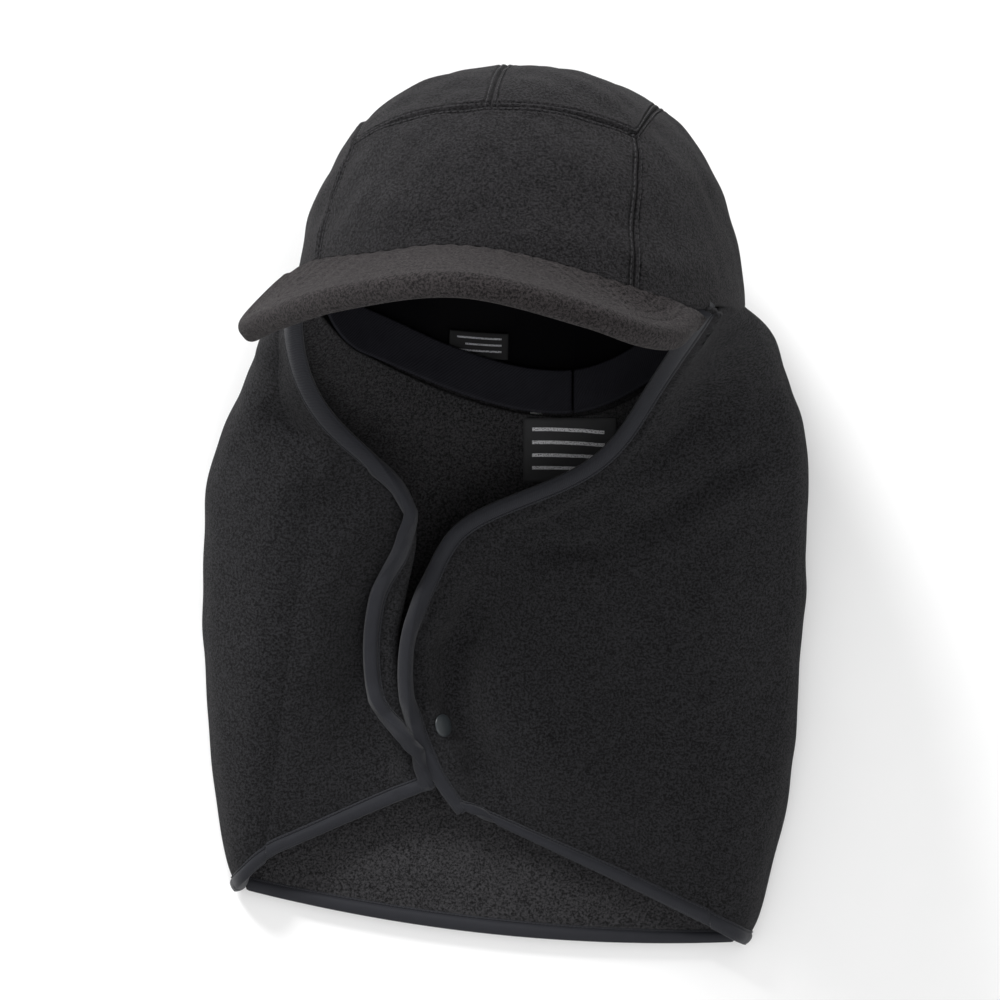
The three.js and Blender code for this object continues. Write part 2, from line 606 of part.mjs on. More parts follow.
// The back is cut clear of the sides where it meets them near the crown.
function addCapeBack() {
  const net = grid(backPoint, range(0, 1, BACK_COLUMNS), BACK_ROWS);
  const clear = FLEECE + SIDE_CLEARANCE;
  const body = [LEFT, RIGHT].reduce((rest, half) => trim(rest, sheet(sideNet(half).net, clear)),
    sheet(net, FLEECE));
  add(hood, 'cape_back', body, capeFleece);
  add(hood, 'back_hem_binding', tape(turnedNet(net), indices(0, BACK_COLUMNS), BACK_ROWS.length - 3),
    bindingKnit);
  addNeckLabel(net);
}

// The neck label lies on the back's inner face, over two of its facets across and two down.
function addNeckLabel(back) {
  const lift = FLEECE / 2 + 4 * GAP + LABEL_THICKNESS / 2;
  const cut = (rows) => rows.slice(1, 4).map((row) => row.slice(7, 10));
  const normals = cut(back.normals);
  const points = cut(back.points).map((row, i) => row.map((point, j) => point.clone()
    .addScaledVector(normals[i][j], normals[i][j].z > 0 ? lift : -lift)));
  add(hood, 'neck_label', sheet({ points, normals }, LABEL_THICKNESS), labelTape);
}

addCrownPanels();
addCrownInside();
addVisor();
addCapeFront();
addCapeBack();
hood.add(crown);

// The origin is below the middle of the hood, on the surface it lies on.
hood.updateMatrixWorld(true);
const extent = new THREE.Box3().setFromObject(hood, true);
hood.position.set(-(extent.min.x + extent.max.x) / 2, -(extent.min.y + extent.max.y) / 2, -extent.min.z);

export default hood;
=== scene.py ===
import json
import math

import bmesh
import bpy
import numpy as np
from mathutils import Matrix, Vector


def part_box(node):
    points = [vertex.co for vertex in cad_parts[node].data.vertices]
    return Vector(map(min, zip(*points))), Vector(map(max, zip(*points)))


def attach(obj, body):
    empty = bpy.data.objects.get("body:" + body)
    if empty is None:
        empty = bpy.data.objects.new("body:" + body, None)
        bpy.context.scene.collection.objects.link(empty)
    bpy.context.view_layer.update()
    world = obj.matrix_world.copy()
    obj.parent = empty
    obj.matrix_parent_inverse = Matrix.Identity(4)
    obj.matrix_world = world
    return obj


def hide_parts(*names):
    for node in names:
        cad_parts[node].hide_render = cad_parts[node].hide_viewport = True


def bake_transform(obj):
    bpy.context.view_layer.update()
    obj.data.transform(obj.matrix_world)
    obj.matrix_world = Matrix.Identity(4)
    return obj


# Looks of the fleece hood. Every cloth is a surface over two parameters, worked out in millimetres
# in the pattern's own axes and then moved into the frame.
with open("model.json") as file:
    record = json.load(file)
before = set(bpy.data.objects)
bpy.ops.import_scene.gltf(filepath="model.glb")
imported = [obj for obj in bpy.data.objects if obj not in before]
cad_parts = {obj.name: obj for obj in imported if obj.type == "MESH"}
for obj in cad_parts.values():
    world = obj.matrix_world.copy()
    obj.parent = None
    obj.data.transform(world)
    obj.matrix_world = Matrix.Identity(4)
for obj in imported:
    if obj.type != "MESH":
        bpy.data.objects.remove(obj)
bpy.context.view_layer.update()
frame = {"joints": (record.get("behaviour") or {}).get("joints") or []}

MM = 0.001
JOINTS = {joint["name"]: joint for joint in frame["joints"]}
HINGE_TOP = np.array([-83.0, 45.0, 64.0])      # top of the left flap's hinge line, in the pattern
HINGE_LIFT = np.array([0.0, 0.0, 1.3])         # from there to the cloth's outer face
PATTERN_ORIGIN = np.array(JOINTS["left_flap_fold"]["pos_m"]) / MM - HINGE_TOP - HINGE_LIFT


# Curves and surfaces ------------------------------------------------------------------------
def ease(x):
    """0 below 0, 1 above 1, and 3x squared less 2x cubed between."""
    t = np.clip(x, 0, 1)
    return t * t * (3 - 2 * t)


def bell(x, width):
    """Gaussian hump of height 1 at 0."""
    return np.exp(-((np.asarray(x) / width) ** 2))


def length(v):
    return np.linalg.norm(v, axis=-1, keepdims=True)


def unit(v):
    return v / np.maximum(length(v), 1e-9)


class Line:
    """Centripetal Catmull-Rom curve: cubic pieces between points, knots spaced by the root of distance."""

    def __init__(self, points, samples=40):
        p = np.array(points, float)
        p = np.vstack([2 * p[0] - p[1], p, 2 * p[-1] - p[-2]])
        knots = np.r_[0, np.cumsum(np.sqrt(np.linalg.norm(np.diff(p, axis=0), axis=1)))]
        parts = []
        for i in range(1, len(p) - 2):
            k = knots[i - 1:i + 3]
            last = i == len(p) - 3
            t = np.linspace(k[1], k[2], samples + last, endpoint=last)[:, None]
            a = [(k[j + 1] - t) / (k[j + 1] - k[j]) * p[i - 1 + j]
                 + (t - k[j]) / (k[j + 1] - k[j]) * p[i + j] for j in range(3)]
            b = [(k[j + 2] - t) / (k[j + 2] - k[j]) * a[j]
                 + (t - k[j]) / (k[j + 2] - k[j]) * a[j + 1] for j in range(2)]
            parts.append((k[2] - t) / (k[2] - k[1]) * b[0] + (t - k[1]) / (k[2] - k[1]) * b[1])
        self.points = np.vstack(parts)
        self.shares = np.linspace(0, 1, len(self.points))

    def at(self, share):
        """Point at a share of the control points."""
        return np.stack([np.interp(share, self.shares, self.points[:, i]) for i in range(3)], -1)

    def down(self, v):
        """Point at a share of the drop in y, on a line that falls all the way."""
        y = self.points[:, 1]
        level = y[0] + (y[-1] - y[0]) * np.asarray(v)
        return np.stack([np.interp(-level, -y, self.points[:, i]) for i in range(3)], -1)


def station(stops, x):
    """Value at x, easing from one (place, value) stop to the next."""
    at, value = np.array(stops, float).T
    i = np.clip(np.searchsorted(at, x, side="right") - 1, 0, len(at) - 2)
    return value[i] + (value[i + 1] - value[i]) * ease((x - at[i]) / (at[i + 1] - at[i]))


def spacing(size, fine, coarse, band=6.0):
    """Shares from 0 to 1 along a size in mm: fine steps within a band of both ends, coarse between."""
    band = min(band, size / 3)
    ends = np.arange(0, band, fine)
    middle = np.linspace(band, size - band, max(int((size - 2 * band) / coarse), 2))
    return np.unique(np.r_[ends, middle, size - ends[::-1]].round(4)) / size


def facing(surface, towards):
    """Unit normals of a grid, from its two tangents, on the side that towards points to."""
    normals = unit(np.cross(np.gradient(surface, axis=0), np.gradient(surface, axis=1)))
    bad = length(normals) < 0.5
    normals = np.where(bad, unit(towards + 0 * normals), normals)
    return normals if (normals * towards).sum() > 0 else -normals


def run(surface, axis):
    """Distance along a grid's lines from their first point, in mm."""
    step = np.linalg.norm(np.diff(surface, axis=axis), axis=-1)
    first = np.zeros_like(np.take(step, [0], axis=axis))
    return np.cumsum(np.concatenate([first, step], axis=axis), axis=axis)


def borders(surface):
    """Distance in mm of each grid point from the first and last row, then first and last column."""
    rows, columns = run(surface, 0), run(surface, 1)
    return rows, rows[-1:] - rows, columns, columns[:, -1:] - columns


def ripple(points, size, seed):
    """Smooth field about -1 to 1: the mean of eight plane waves of about that wavelength."""
    waves = np.random.default_rng(seed)
    total = 0
    for _ in range(8):
        way = unit(waves.normal(size=3)) * 2 * math.pi / (size * waves.uniform(0.7, 1.5))
        total = total + np.sin(points @ way + waves.uniform(0, 6.3))
    return total / 3


# Meshes -------------------------------------------------------------------------------------
def make(name, points, faces, material, uv=None, merge=0.0, outward=False):
    """Object from points in pattern mm, faces, and a flat place in mm for each point.

    outward turns every face of a closed piece outwards, after points closer than merge mm are joined.
    """
    mesh = bpy.data.meshes.new(name)
    place = (points.reshape(-1, 3) + PATTERN_ORIGIN) * MM
    mesh.from_pydata(place, [], faces if isinstance(faces, list) else faces.tolist())
    if uv is not None:
        layer = mesh.uv_layers.new(name="flat")
        loops = np.empty(len(mesh.loops), np.int64)
        mesh.loops.foreach_get("vertex_index", loops)
        layer.data.foreach_set("uv", (uv.reshape(-1, 2)[loops] * MM).ravel())
    rest = mesh.attributes.new("rest", "FLOAT_VECTOR", "POINT")
    rest.data.foreach_set("vector", place.astype(np.float32).ravel())
    if outward:
        work = bmesh.new()
        work.from_mesh(mesh)
        if merge:
            bmesh.ops.remove_doubles(work, verts=work.verts, dist=merge * MM)
        bmesh.ops.recalc_face_normals(work, faces=work.faces)
        work.to_mesh(mesh)
        work.free()
    mesh.shade_smooth()
    mesh.materials.append(material)
    obj = bpy.data.objects.new(name, mesh)
    bpy.context.collection.objects.link(obj)
    return obj


def quads(rows, columns, base=0, wrap=False):
    """Quads of a grid, closed round its second direction when wrap is set."""
    i = np.arange(rows - 1)[:, None]
    j = np.arange(columns if wrap else columns - 1)[None]
    k = (j + 1) % columns
    return base + np.stack([i * columns + j, i * columns + k, (i + 1) * columns + k,
                            (i + 1) * columns + j], -1).reshape(-1, 4)


def rim_of(rows, columns):
    """Grid indices round the border, and for each the index one step in from it."""
    top = [(0, j) for j in range(columns)]
    right = [(i, columns - 1) for i in range(1, rows)]
    bottom = [(rows - 1, j) for j in range(columns - 2, -1, -1)]
    left = [(i, 0) for i in range(rows - 2, 0, -1)]
    border = np.array(top + right + bottom + left)
    inner = np.clip(border, 1, [rows - 2, columns - 2])
    return border @ [columns, 1], inner @ [columns, 1]


def cloth(name, middle, normals, thickness, material, bump=None, inner_bump=None):
    """Sheet: the surface at half a thickness each side of its middle, rounded over round its border.

    bump and inner_bump are heights in mm added along the normal to the outer and inner faces.
    """
    rows, columns = middle.shape[:2]
    outer = middle + normals * (thickness / 2 + (0 if bump is None else bump[..., None]))
    inner = middle - normals * (thickness / 2 - (0 if inner_bump is None else inner_bump[..., None]))
    border, within = rim_of(rows, columns)
    flat_outer, flat_inner = outer.reshape(-1, 3), inner.reshape(-1, 3)
    away = unit(flat_outer[border] - flat_outer[within])
    edge = (flat_outer[border] + flat_inner[border]) / 2 + away * thickness * 0.4
    count, size = len(border), rows * columns
    following = np.roll(np.arange(count), -1)
    around = 2 * size + np.arange(count)
    faces = np.vstack([
        quads(rows, columns),
        quads(rows, columns, size)[:, ::-1],
        np.stack([border, around, around[following], border[following]], -1),
        np.stack([around, border + size, border[following] + size, around[following]], -1),
    ])
    turn = np.cross(outer[1, 0] - outer[0, 0], outer[0, 1] - outer[0, 0]) @ normals[0, 0]
    middle_turn = np.cross(outer[rows // 2 + 1, columns // 2] - outer[rows // 2, columns // 2],
                           outer[rows // 2, columns // 2 + 1] - outer[rows // 2, columns // 2])
    if (middle_turn @ normals[rows // 2, columns // 2] if abs(turn) < 1e-9 else turn) > 0:
        faces = faces[:, ::-1]
    flat = np.stack([run(middle, 1), run(middle, 0)], -1).reshape(-1, 2)
    uv = np.vstack([flat, flat, flat[border]])
    return make(name, np.vstack([flat_outer, flat_inner, edge]), faces, material, uv)


def tube(name, rings, material, merge=0.0):
    """Closed sweep: rings of points joined one to the next, with a fan over each end."""
    count, around = rings.shape[:2]
    points = np.vstack([rings.reshape(-1, 3), rings[0].mean(0), rings[-1].mean(0)])
    faces = quads(count, around, wrap=True).tolist()
    last = count * around
    for base, centre, order in ((0, last, -1), (last - around, last + 1, 1)):
        ring = base + np.arange(around)
        fan = np.stack([ring, np.roll(ring, -1)][::order] + [np.full(around, centre)], -1)
        faces += fan.tolist()
    flat = np.stack([run(np.concatenate([rings, rings[:, :1]], 1), 1)[:, :-1],
                     run(rings, 0)], -1).reshape(-1, 2)
    uv = np.vstack([flat, flat[:1], flat[-1:]])
    return make(name, points, faces, material, uv, merge, outward=True)


def thread(rows, stitch, gap, radius):
    """Points and quads of sewing stitches: capsules along each row of (path, normals), sunk at both ends."""
    sides = np.linspace(0, 2 * math.pi, 6, endpoint=False)
    along = np.array([0, 0.16, 0.5, 0.84, 1.0])
    girth = np.array([0.25, 0.9, 1.0, 0.9, 0.25])
    height = np.array([-0.9, 0.1, 0.45, 0.1, -0.9])
    knots, corners = len(along), len(sides)
    size = knots * corners
    points, faces, base = [], [], 0
    for path, normals in rows:
        at = np.r_[0, np.cumsum(np.linalg.norm(np.diff(path, axis=0), axis=1))]
        starts = np.arange(gap, at[-1] - stitch, stitch + gap)
        s = starts[:, None] + along * stitch
        centre = np.stack([np.interp(s, at, path[:, i]) for i in range(3)], -1)
        up = unit(np.stack([np.interp(s, at, normals[:, i]) for i in range(3)], -1))
        ahead = unit(centre[:, -1:] - centre[:, :1])
        side = unit(np.cross(ahead, up))
        middle = centre + up * (height * radius)[None, :, None]
        ring = (middle[:, :, None] + radius * girth[None, :, None, None]
                * (up[:, :, None] * np.cos(sides)[:, None] + side[:, :, None] * np.sin(sides)[:, None]))
        one = quads(knots, corners, wrap=True)
        ends = np.array([[3, 2, 1, 0], [5, 4, 3, 0], [24, 25, 26, 27], [24, 27, 28, 29]])
        for quad in (one, ends):
            faces.append((base + size * np.arange(len(starts))[:, None, None] + quad).reshape(-1, 4))
        points.append(ring.reshape(-1, 3))
        base += len(starts) * size
    return np.vstack(points), np.vstack(faces)


def sew(name, rows, material, stitch=2.3, gap=0.7, radius=0.22):
    points, faces = thread(rows, stitch, gap, radius)
    return make(name, points, faces, material)


# Materials ----------------------------------------------------------------------------------
class Graph:
    """Builds the nodes of one tree."""

    def __init__(self, tree):
        self.tree = tree

    def add(self, kind, **values):
        node = self.tree.nodes.new(kind)
        for key, value in values.items():
            if key in node.inputs:
                self.feed(node.inputs[key], value)
            else:
                setattr(node, key, value)
        return node

    def feed(self, socket, value):
        if isinstance(value, bpy.types.NodeSocket):
            self.tree.links.new(value, socket)
        else:
            socket.default_value = value

    def noise(self, place, scale, detail=3.0, roughness=0.6):
        return self.add("ShaderNodeTexNoise", Vector=place, Scale=scale, Detail=detail,
                        Roughness=roughness).outputs["Fac"]

    def sum(self, operation, first, second, clamp=False):
        node = self.add("ShaderNodeMath", operation=operation, use_clamp=clamp)
        self.feed(node.inputs[0], first)
        self.feed(node.inputs[1], second)
        return node.outputs[0]

    def between(self, value, low, high, start=0.0, end=1.0):
        node = self.add("ShaderNodeMapRange")
        for socket, part in zip(node.inputs, (value, low, high, start, end)):
            self.feed(socket, part)
        return node.outputs[0]

    def mix(self, share, first, second):
        node = self.add("ShaderNodeMix", data_type="RGBA")
        self.feed(node.inputs[0], share)
        self.feed(node.inputs[6], first)
        self.feed(node.inputs[7], second)
        return node.outputs[2]


def pile_group():
    """Shared brushed pile: tufts a millimetre or so across in patches, as a shade and a normal."""
    tree = bpy.data.node_groups.new("brushed pile", "ShaderNodeTree")
    for name, kind in (("Place", "NodeSocketVector"), ("Tuft", "NodeSocketFloat"),
                       ("Depth", "NodeSocketFloat")):
        tree.interface.new_socket(name, in_out="INPUT", socket_type=kind)
    tree.interface.new_socket("Shade", in_out="OUTPUT", socket_type="NodeSocketFloat")
    tree.interface.new_socket("Normal", in_out="OUTPUT", socket_type="NodeSocketVector")
    g = Graph(tree)
    given = g.add("NodeGroupInput")
    place, tuft = given.outputs["Place"], given.outputs["Tuft"]
    coarse = g.noise(place, tuft, 3.0, 0.65)
    fine = g.noise(place, g.sum("MULTIPLY", tuft, 2.7), 2.0, 0.7)
    patch = g.noise(place, g.sum("MULTIPLY", tuft, 0.07), 3.0, 0.6)
    height = g.sum("ADD", g.sum("MULTIPLY", coarse, 0.65), g.sum("MULTIPLY", fine, 0.35))
    shade = g.sum("ADD", g.between(height, 0.42, 0.58, 0.0, 0.95), g.sum("MULTIPLY", patch, 0.15))
    bump = g.add("ShaderNodeBump", Strength=1.0, Distance=given.outputs["Depth"], Height=height)
    out = g.add("NodeGroupOutput")
    g.feed(out.inputs["Shade"], shade)
    g.feed(out.inputs["Normal"], bump.outputs["Normal"])
    return tree


def knit_group():
    """Shared fine knit: rows of slanted loops on the cloth's flat place, as a shade and a normal."""
    tree = bpy.data.node_groups.new("fine knit", "ShaderNodeTree")
    for name in ("Pitch", "Depth"):
        tree.interface.new_socket(name, in_out="INPUT", socket_type="NodeSocketFloat")
    tree.interface.new_socket("Place", in_out="INPUT", socket_type="NodeSocketVector")
    tree.interface.new_socket("Shade", in_out="OUTPUT", socket_type="NodeSocketFloat")
    tree.interface.new_socket("Normal", in_out="OUTPUT", socket_type="NodeSocketVector")
    g = Graph(tree)
    given = g.add("NodeGroupInput")
    place = given.outputs["Place"]
    first = g.add("ShaderNodeTexWave", Vector=place, Scale=given.outputs["Pitch"], Distortion=0.6,
                  bands_direction="DIAGONAL").outputs["Fac"]
    grain = g.noise(place, 2400.0, 3.0, 0.7)
    cloud = g.noise(place, 120.0, 3.0, 0.6)
    height = g.sum("ADD", g.sum("MULTIPLY", first, 0.5), g.sum("MULTIPLY", grain, 0.5))
    bump = g.add("ShaderNodeBump", Strength=0.8, Distance=given.outputs["Depth"], Height=height)
    out = g.add("NodeGroupOutput")
    g.feed(out.inputs["Shade"], g.sum("ADD", g.sum("MULTIPLY", height, 0.75), g.sum("MULTIPLY", cloud, 0.35)))
    g.feed(out.inputs["Normal"], bump.outputs["Normal"])
    return tree


PILE = pile_group()
KNIT = knit_group()


def start(name):
    material = bpy.data.materials.new(name)
    material.use_nodes = True
    g = Graph(material.node_tree)
    return material, g, material.node_tree.nodes["Principled BSDF"]


def rest_of(g):
    return g.add("ShaderNodeAttribute", attribute_name="rest").outputs["Vector"]


def fleece(name, dark, light, tuft=950.0, depth=0.0018, sheen=0.04):
    material, g, surface = start(name)
    pile = g.add("ShaderNodeGroup", node_tree=PILE, Place=rest_of(g), Tuft=tuft, Depth=depth)
    g.feed(surface.inputs["Base Color"], g.mix(pile.outputs["Shade"], (*dark, 1), (*light, 1)))
    g.feed(surface.inputs["Normal"], pile.outputs["Normal"])
    surface.inputs["Roughness"].default_value = 0.95
    surface.inputs["Specular IOR Level"].default_value = 0.15
    surface.inputs["Sheen Weight"].default_value = sheen
    surface.inputs["Sheen Roughness"].default_value = 0.45
    surface.inputs["Sheen Tint"].default_value = (0.9, 0.88, 0.9, 1)
    return material


def knit(name, dark, light, pitch=700.0, depth=0.00025, roughness=0.6, sheen=0.1, flat=True, gloss=0.2):
    material, g, surface = start(name)
    place = g.add("ShaderNodeUVMap", uv_map="flat").outputs["UV"] if flat else rest_of(g)
    loops = g.add("ShaderNodeGroup", node_tree=KNIT, Place=place, Pitch=pitch, Depth=depth)
    g.feed(surface.inputs["Base Color"], g.mix(loops.outputs["Shade"], (*dark, 1), (*light, 1)))
    g.feed(surface.inputs["Normal"], loops.outputs["Normal"])
    surface.inputs["Roughness"].default_value = roughness
    surface.inputs["Specular IOR Level"].default_value = gloss
    surface.inputs["Sheen Weight"].default_value = sheen
    return material


def hard(name, dark, light, roughness, metallic=0.0, grain=1500.0):
    """Moulded or plated finish: faint cloud in the colour, worn roughness and a fine bump."""
    material, g, surface = start(name)
    place = g.add("ShaderNodeTexCoord").outputs["Object"]
    cloud = g.noise(place, grain / 6, 4.0, 0.6)
    g.feed(surface.inputs["Base Color"], g.mix(cloud, (*dark, 1), (*light, 1)))
    g.feed(surface.inputs["Roughness"], g.between(g.noise(place, grain, 3.0), 0.3, 0.7, roughness - 0.07,
                                                  roughness + 0.07))
    bump = g.add("ShaderNodeBump", Strength=0.4, Distance=0.00005, Height=g.noise(place, grain, 4.0))
    g.feed(surface.inputs["Normal"], bump.outputs["Normal"])
    surface.inputs["Metallic"].default_value = metallic
    return material


def marked(name, cloth_colour, mark_colour, bars, pitch):
    """Woven label: fine weave with a few plain bars across it, set by its flat place in millimetres."""
    material, g, surface = start(name)
    place = g.add("ShaderNodeUVMap", uv_map="flat").outputs["UV"]
    split = g.add("ShaderNodeSeparateXYZ", Vector=place)
    mask = 0.0
    for low_x, high_x, low_y, high_y in bars:
        box = 1.0
        for value, low, high in ((split.outputs["X"], low_x, high_x), (split.outputs["Y"], low_y, high_y)):
            inside = g.sum("MULTIPLY", g.sum("GREATER_THAN", value, low * MM),
                           g.sum("LESS_THAN", value, high * MM))
            box = g.sum("MULTIPLY", box, inside)
        mask = g.sum("MAXIMUM", mask, box)
    weave = g.add("ShaderNodeGroup", node_tree=KNIT, Place=place, Pitch=pitch, Depth=0.0001)
    worn = g.sum("MULTIPLY", mask, g.between(g.noise(place, 1800.0, 3.0), 0.35, 0.5))
    base = g.mix(weave.outputs["Shade"], (*[c * 0.6 for c in cloth_colour], 1), (*cloth_colour, 1))
    g.feed(surface.inputs["Base Color"], g.mix(worn, base, (*mark_colour, 1)))
    g.feed(surface.inputs["Normal"], weave.outputs["Normal"])
    surface.inputs["Roughness"].default_value = 0.75
    return material


crown_fleece = fleece("crown fleece", (0.0009, 0.0009, 0.0010), (0.0252, 0.0240, 0.0262))
# The visor's fleece is the crown's fleece made lighter: painted light, standing in for the lamp on the
# visor's upturned top.
visor_fleece_painted_light = fleece("visor fleece painted light", (0.0028, 0.0024, 0.0025), (0.0432, 0.0378, 0.0385))
cape_fleece = fleece("cape fleece", (0.0012, 0.0012, 0.0014), (0.0255, 0.0255, 0.028))
inner_fleece = fleece("inner fleece", (0.003, 0.003, 0.0033), (0.048, 0.047, 0.050))
binding_knit = knit("binding knit", (0.0042, 0.0046, 0.0064), (0.0195, 0.0205, 0.0270), sheen=0.1)
# Lining cloth near black: the lining's own dark colour, deepened as painted shade for the inside of the
# crown.
lining_cloth_painted_shade = knit("lining cloth painted shade", (0.0008, 0.0008, 0.001), (0.003, 0.003, 0.004), pitch=900.0, flat=False,
                    sheen=0.0, gloss=0.04)
band_knit = knit("band twill", (0.004, 0.004, 0.0055), (0.020, 0.020, 0.0255), pitch=420.0, depth=0.0003,
                 sheen=0.0,
                 gloss=0.08)
seam_thread = knit("seam thread", (0.014, 0.014, 0.016), (0.036, 0.035, 0.038), pitch=1600.0, flat=False)
thread_dark = knit("sewing thread", (0.010, 0.010, 0.012), (0.030, 0.030, 0.035), pitch=1600.0, flat=False)
board_plastic = hard("board plastic", (0.55, 0.55, 0.53), (0.64, 0.64, 0.62), 0.5)
snap_lacquer = hard("snap lacquer", (0.018, 0.022, 0.025), (0.026, 0.031, 0.034), 0.42)
snap_steel = hard("snap steel", (0.34, 0.34, 0.35), (0.46, 0.46, 0.47), 0.32, 1.0)


# Crown --------------------------------------------------------------------------------------
CROWN_HALF_WIDTH, CROWN_HALF_DEPTH, CROWN_HEIGHT, SQUARENESS = 98.0, 97.0, 118.0, 2.42
CROWN_CENTRE = np.array([8.5, 69.5, 101.3])
PITCH, YAW, ROLL = (math.radians(-a) for a in (15, 17, 0.5))
SEAM_AZIMUTH, SIDE_SEAM_END = 45.0, 166.0
FLEECE, LINING, INTERLINING, BAND, BAND_HEIGHT, LAYER_GAP = 2.6, 0.8, 0.6, 1.4, 21.0, 1.7
BASE_LINE = [(-180, -8), (-110, 12), (-66, 26), (-12, 13), (60, -6), (84, 4), (106, 16), (140, 6), (180, -8)]
FRONT_TOP = [(-45, 74, 0), (-25, 77, 0), (0, 76, 0), (25, 73, 0), (45, 68, 0)]
SIDE_TOP = [(45, 0, 0), (52, 11, 0), (64, 22, 0), (82, 29, 0), (105, 26, 0), (135, 6, 0), (155, -34, 0),
            (166, -70, 0), (180, -100, 0)]      # above the height at which the side seam starts
CROWN_TWIST = 8.0                               # degrees that the seams lean round the crown, higher up


def turn_about(axis, angle):
    c, s = math.cos(angle), math.sin(angle)
    i, j = [k for k in range(3) if k != axis]
    m = np.eye(3)
    m[i, i] = m[j, j] = c
    m[i, j], m[j, i] = (-s, s) if axis != 1 else (s, -s)
    return m


CROWN_TURN = turn_about(2, ROLL) @ turn_about(0, PITCH) @ turn_about(1, YAW)


def base_height(azimuth):
    return station(BASE_LINE, azimuth)


def panel_height(azimuth):
    """Height of the panels' top seam: a curve over the front, and one that goes on from it at each side."""
    front, flank = Line(FRONT_TOP).points, Line(SIDE_TOP).points
    corner = np.where(azimuth < 0, FRONT_TOP[0][1], FRONT_TOP[-1][1])
    over = np.interp(azimuth, front[:, 0], front[:, 1])
    beside = corner + np.interp(np.abs(azimuth), flank[:, 0], flank[:, 1])
    return np.maximum(np.where(np.abs(azimuth) <= SEAM_AZIMUTH, over, beside), base_height(azimuth))


def rise_to(height):
    """Angle up the crown's profile at which its outside reaches a height."""
    share = np.clip(np.abs(height) / CROWN_HEIGHT, 0, 1)
    return np.sign(height) * np.degrees(np.arcsin(share ** (SQUARENESS / 2)))


def crown_point(azimuth, rise, inset=0.0):
    """Superellipsoid: half sizes less the inset, times sine or cosine of the azimuth and the 2/n powers
    of the cosine and sine of the rise, turned and moved to where the crown sits."""
    a, r, power = np.radians(azimuth), np.radians(rise), 2 / SQUARENESS
    level = np.abs(np.cos(r)) ** power
    up = np.sign(r) * np.abs(np.sin(r)) ** power
    point = np.stack([(CROWN_HALF_WIDTH - inset) * np.sin(a) * level, (CROWN_HEIGHT - inset) * up,
                      (CROWN_HALF_DEPTH - inset) * np.cos(a) * level], -1)
    return point @ CROWN_TURN.T + CROWN_CENTRE


def crown_grid(azimuths, low, high, shares, inset):
    """Grid of the crown over azimuths and shares of the rise between two lines."""
    a = azimuths[None, :] + 0 * shares[:, None]
    lower, upper = low(azimuths)[None], high(azimuths)[None]
    rise = lower + (upper - lower) * shares[:, None]
    return crown_point(a + CROWN_TWIST * bell(a - 15, 70) * ease(rise / 42), rise, inset)


def seam_relief(distance, along):
    """Height near a seam: a ditch at the seam, a soft ridge, and a stitched ditch beside it that puckers."""
    pucker = 1 + 0.35 * np.sin(2 * math.pi * along / 3.0) + 0.3 * np.sin(along / 4.1)
    return (-1.1 * bell(distance, 0.6) + 0.3 * bell(distance - 1.3, 0.6)
            - 0.55 * bell(distance - 2.5, 0.45) * pucker + 0.2 * bell(distance - 3.8, 1.1))


STITCH_LINE = 2.5
crown_rows = []


def crown_panel(name, node, azimuths, low, high, rise_shares, seams):
    """One panel of the crown with its seams' relief. seams names its sewn borders."""
    middle = crown_grid(azimuths, low, high, rise_shares, FLEECE / 2)
    normals = facing(middle, middle - CROWN_CENTRE)
    near = dict(zip(("foot", "top", "start", "end"), borders(middle)))
    along_rows, along_columns = run(middle, 1), run(middle, 0)
    bump = 0.8 * ripple(middle, 46, 3) * ease(near["foot"] / 14)
    bump = bump + 0.35 * ripple(middle, 17, 4) * ease(near["foot"] / 14)
    for side in seams:
        along = along_rows if side in ("foot", "top") else along_columns
        bump = bump + seam_relief(near[side], along)
        lines = middle + normals * (FLEECE / 2 + bump)[..., None]
        place, up = strip(lines, normals, side, [STITCH_LINE])
        crown_rows.append((place[:, 0], up[:, 0]))
    piece = cloth(name, middle, normals, FLEECE, crown_fleece, bump)
    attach(piece, "hood")
    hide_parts(node)
    return piece, middle


def strip(surface, normals, side, distances):
    """Points and normals at distances in mm in from one border of a grid, a line for each point on it."""
    if side in ("top", "end"):
        flip = 0 if side == "top" else 1
        surface, normals = np.flip(surface, flip), np.flip(normals, flip)
    if side in ("foot", "top"):
        surface, normals = surface.transpose(1, 0, 2), normals.transpose(1, 0, 2)
    at = run(surface, 1)
    def pick(values):
        return np.stack([np.stack([np.interp(distances, at[i], values[i, :, k]) for k in range(3)], -1)
                         for i in range(len(at))])
    return pick(surface), unit(pick(normals))


def base_rise(azimuth):
    return rise_to(base_height(azimuth) - 1.0)


def panel_rise(azimuth):
    return rise_to(panel_height(azimuth))


SEAM = 0.02       # degrees of room on each side of a seam
flats = {}
front_az = -SEAM_AZIMUTH + 2 * SEAM_AZIMUTH * spacing(150, 0.45, 1.3)
pieces = {}
pieces["crown_front"], flats["crown_front"] = crown_panel(
    "crown_front", "front_panel", front_az, base_rise, lambda a: panel_rise(a) - SEAM,
    spacing(70, 0.45, 1.2), ("top", "start", "end"))
for side, sign in (("left", -1), ("right", 1)):
    flank = sign * (SEAM_AZIMUTH + (SIDE_SEAM_END - SEAM_AZIMUTH) * spacing(200, 0.45, 1.5))
    name = f"crown_side_{side}"
    pieces[name], flats[name] = crown_panel(name, f"side_panel_{side}", flank, base_rise,
                                            lambda a: panel_rise(a) - SEAM, spacing(80, 0.45, 1.3),
                                            ("top", "start"))
    half = sign * 180 * spacing(300, 0.45, 1.8)
    name = f"crown_top_{side}"
    pieces[name], flats[name] = crown_panel(name, f"top_panel_{side}", half,
                                            lambda a: panel_rise(a) + SEAM, lambda a: 90 + 0 * a,
                                            spacing(90, 0.45, 1.3), ("foot", "start", "end"))
    crown_rows.pop()

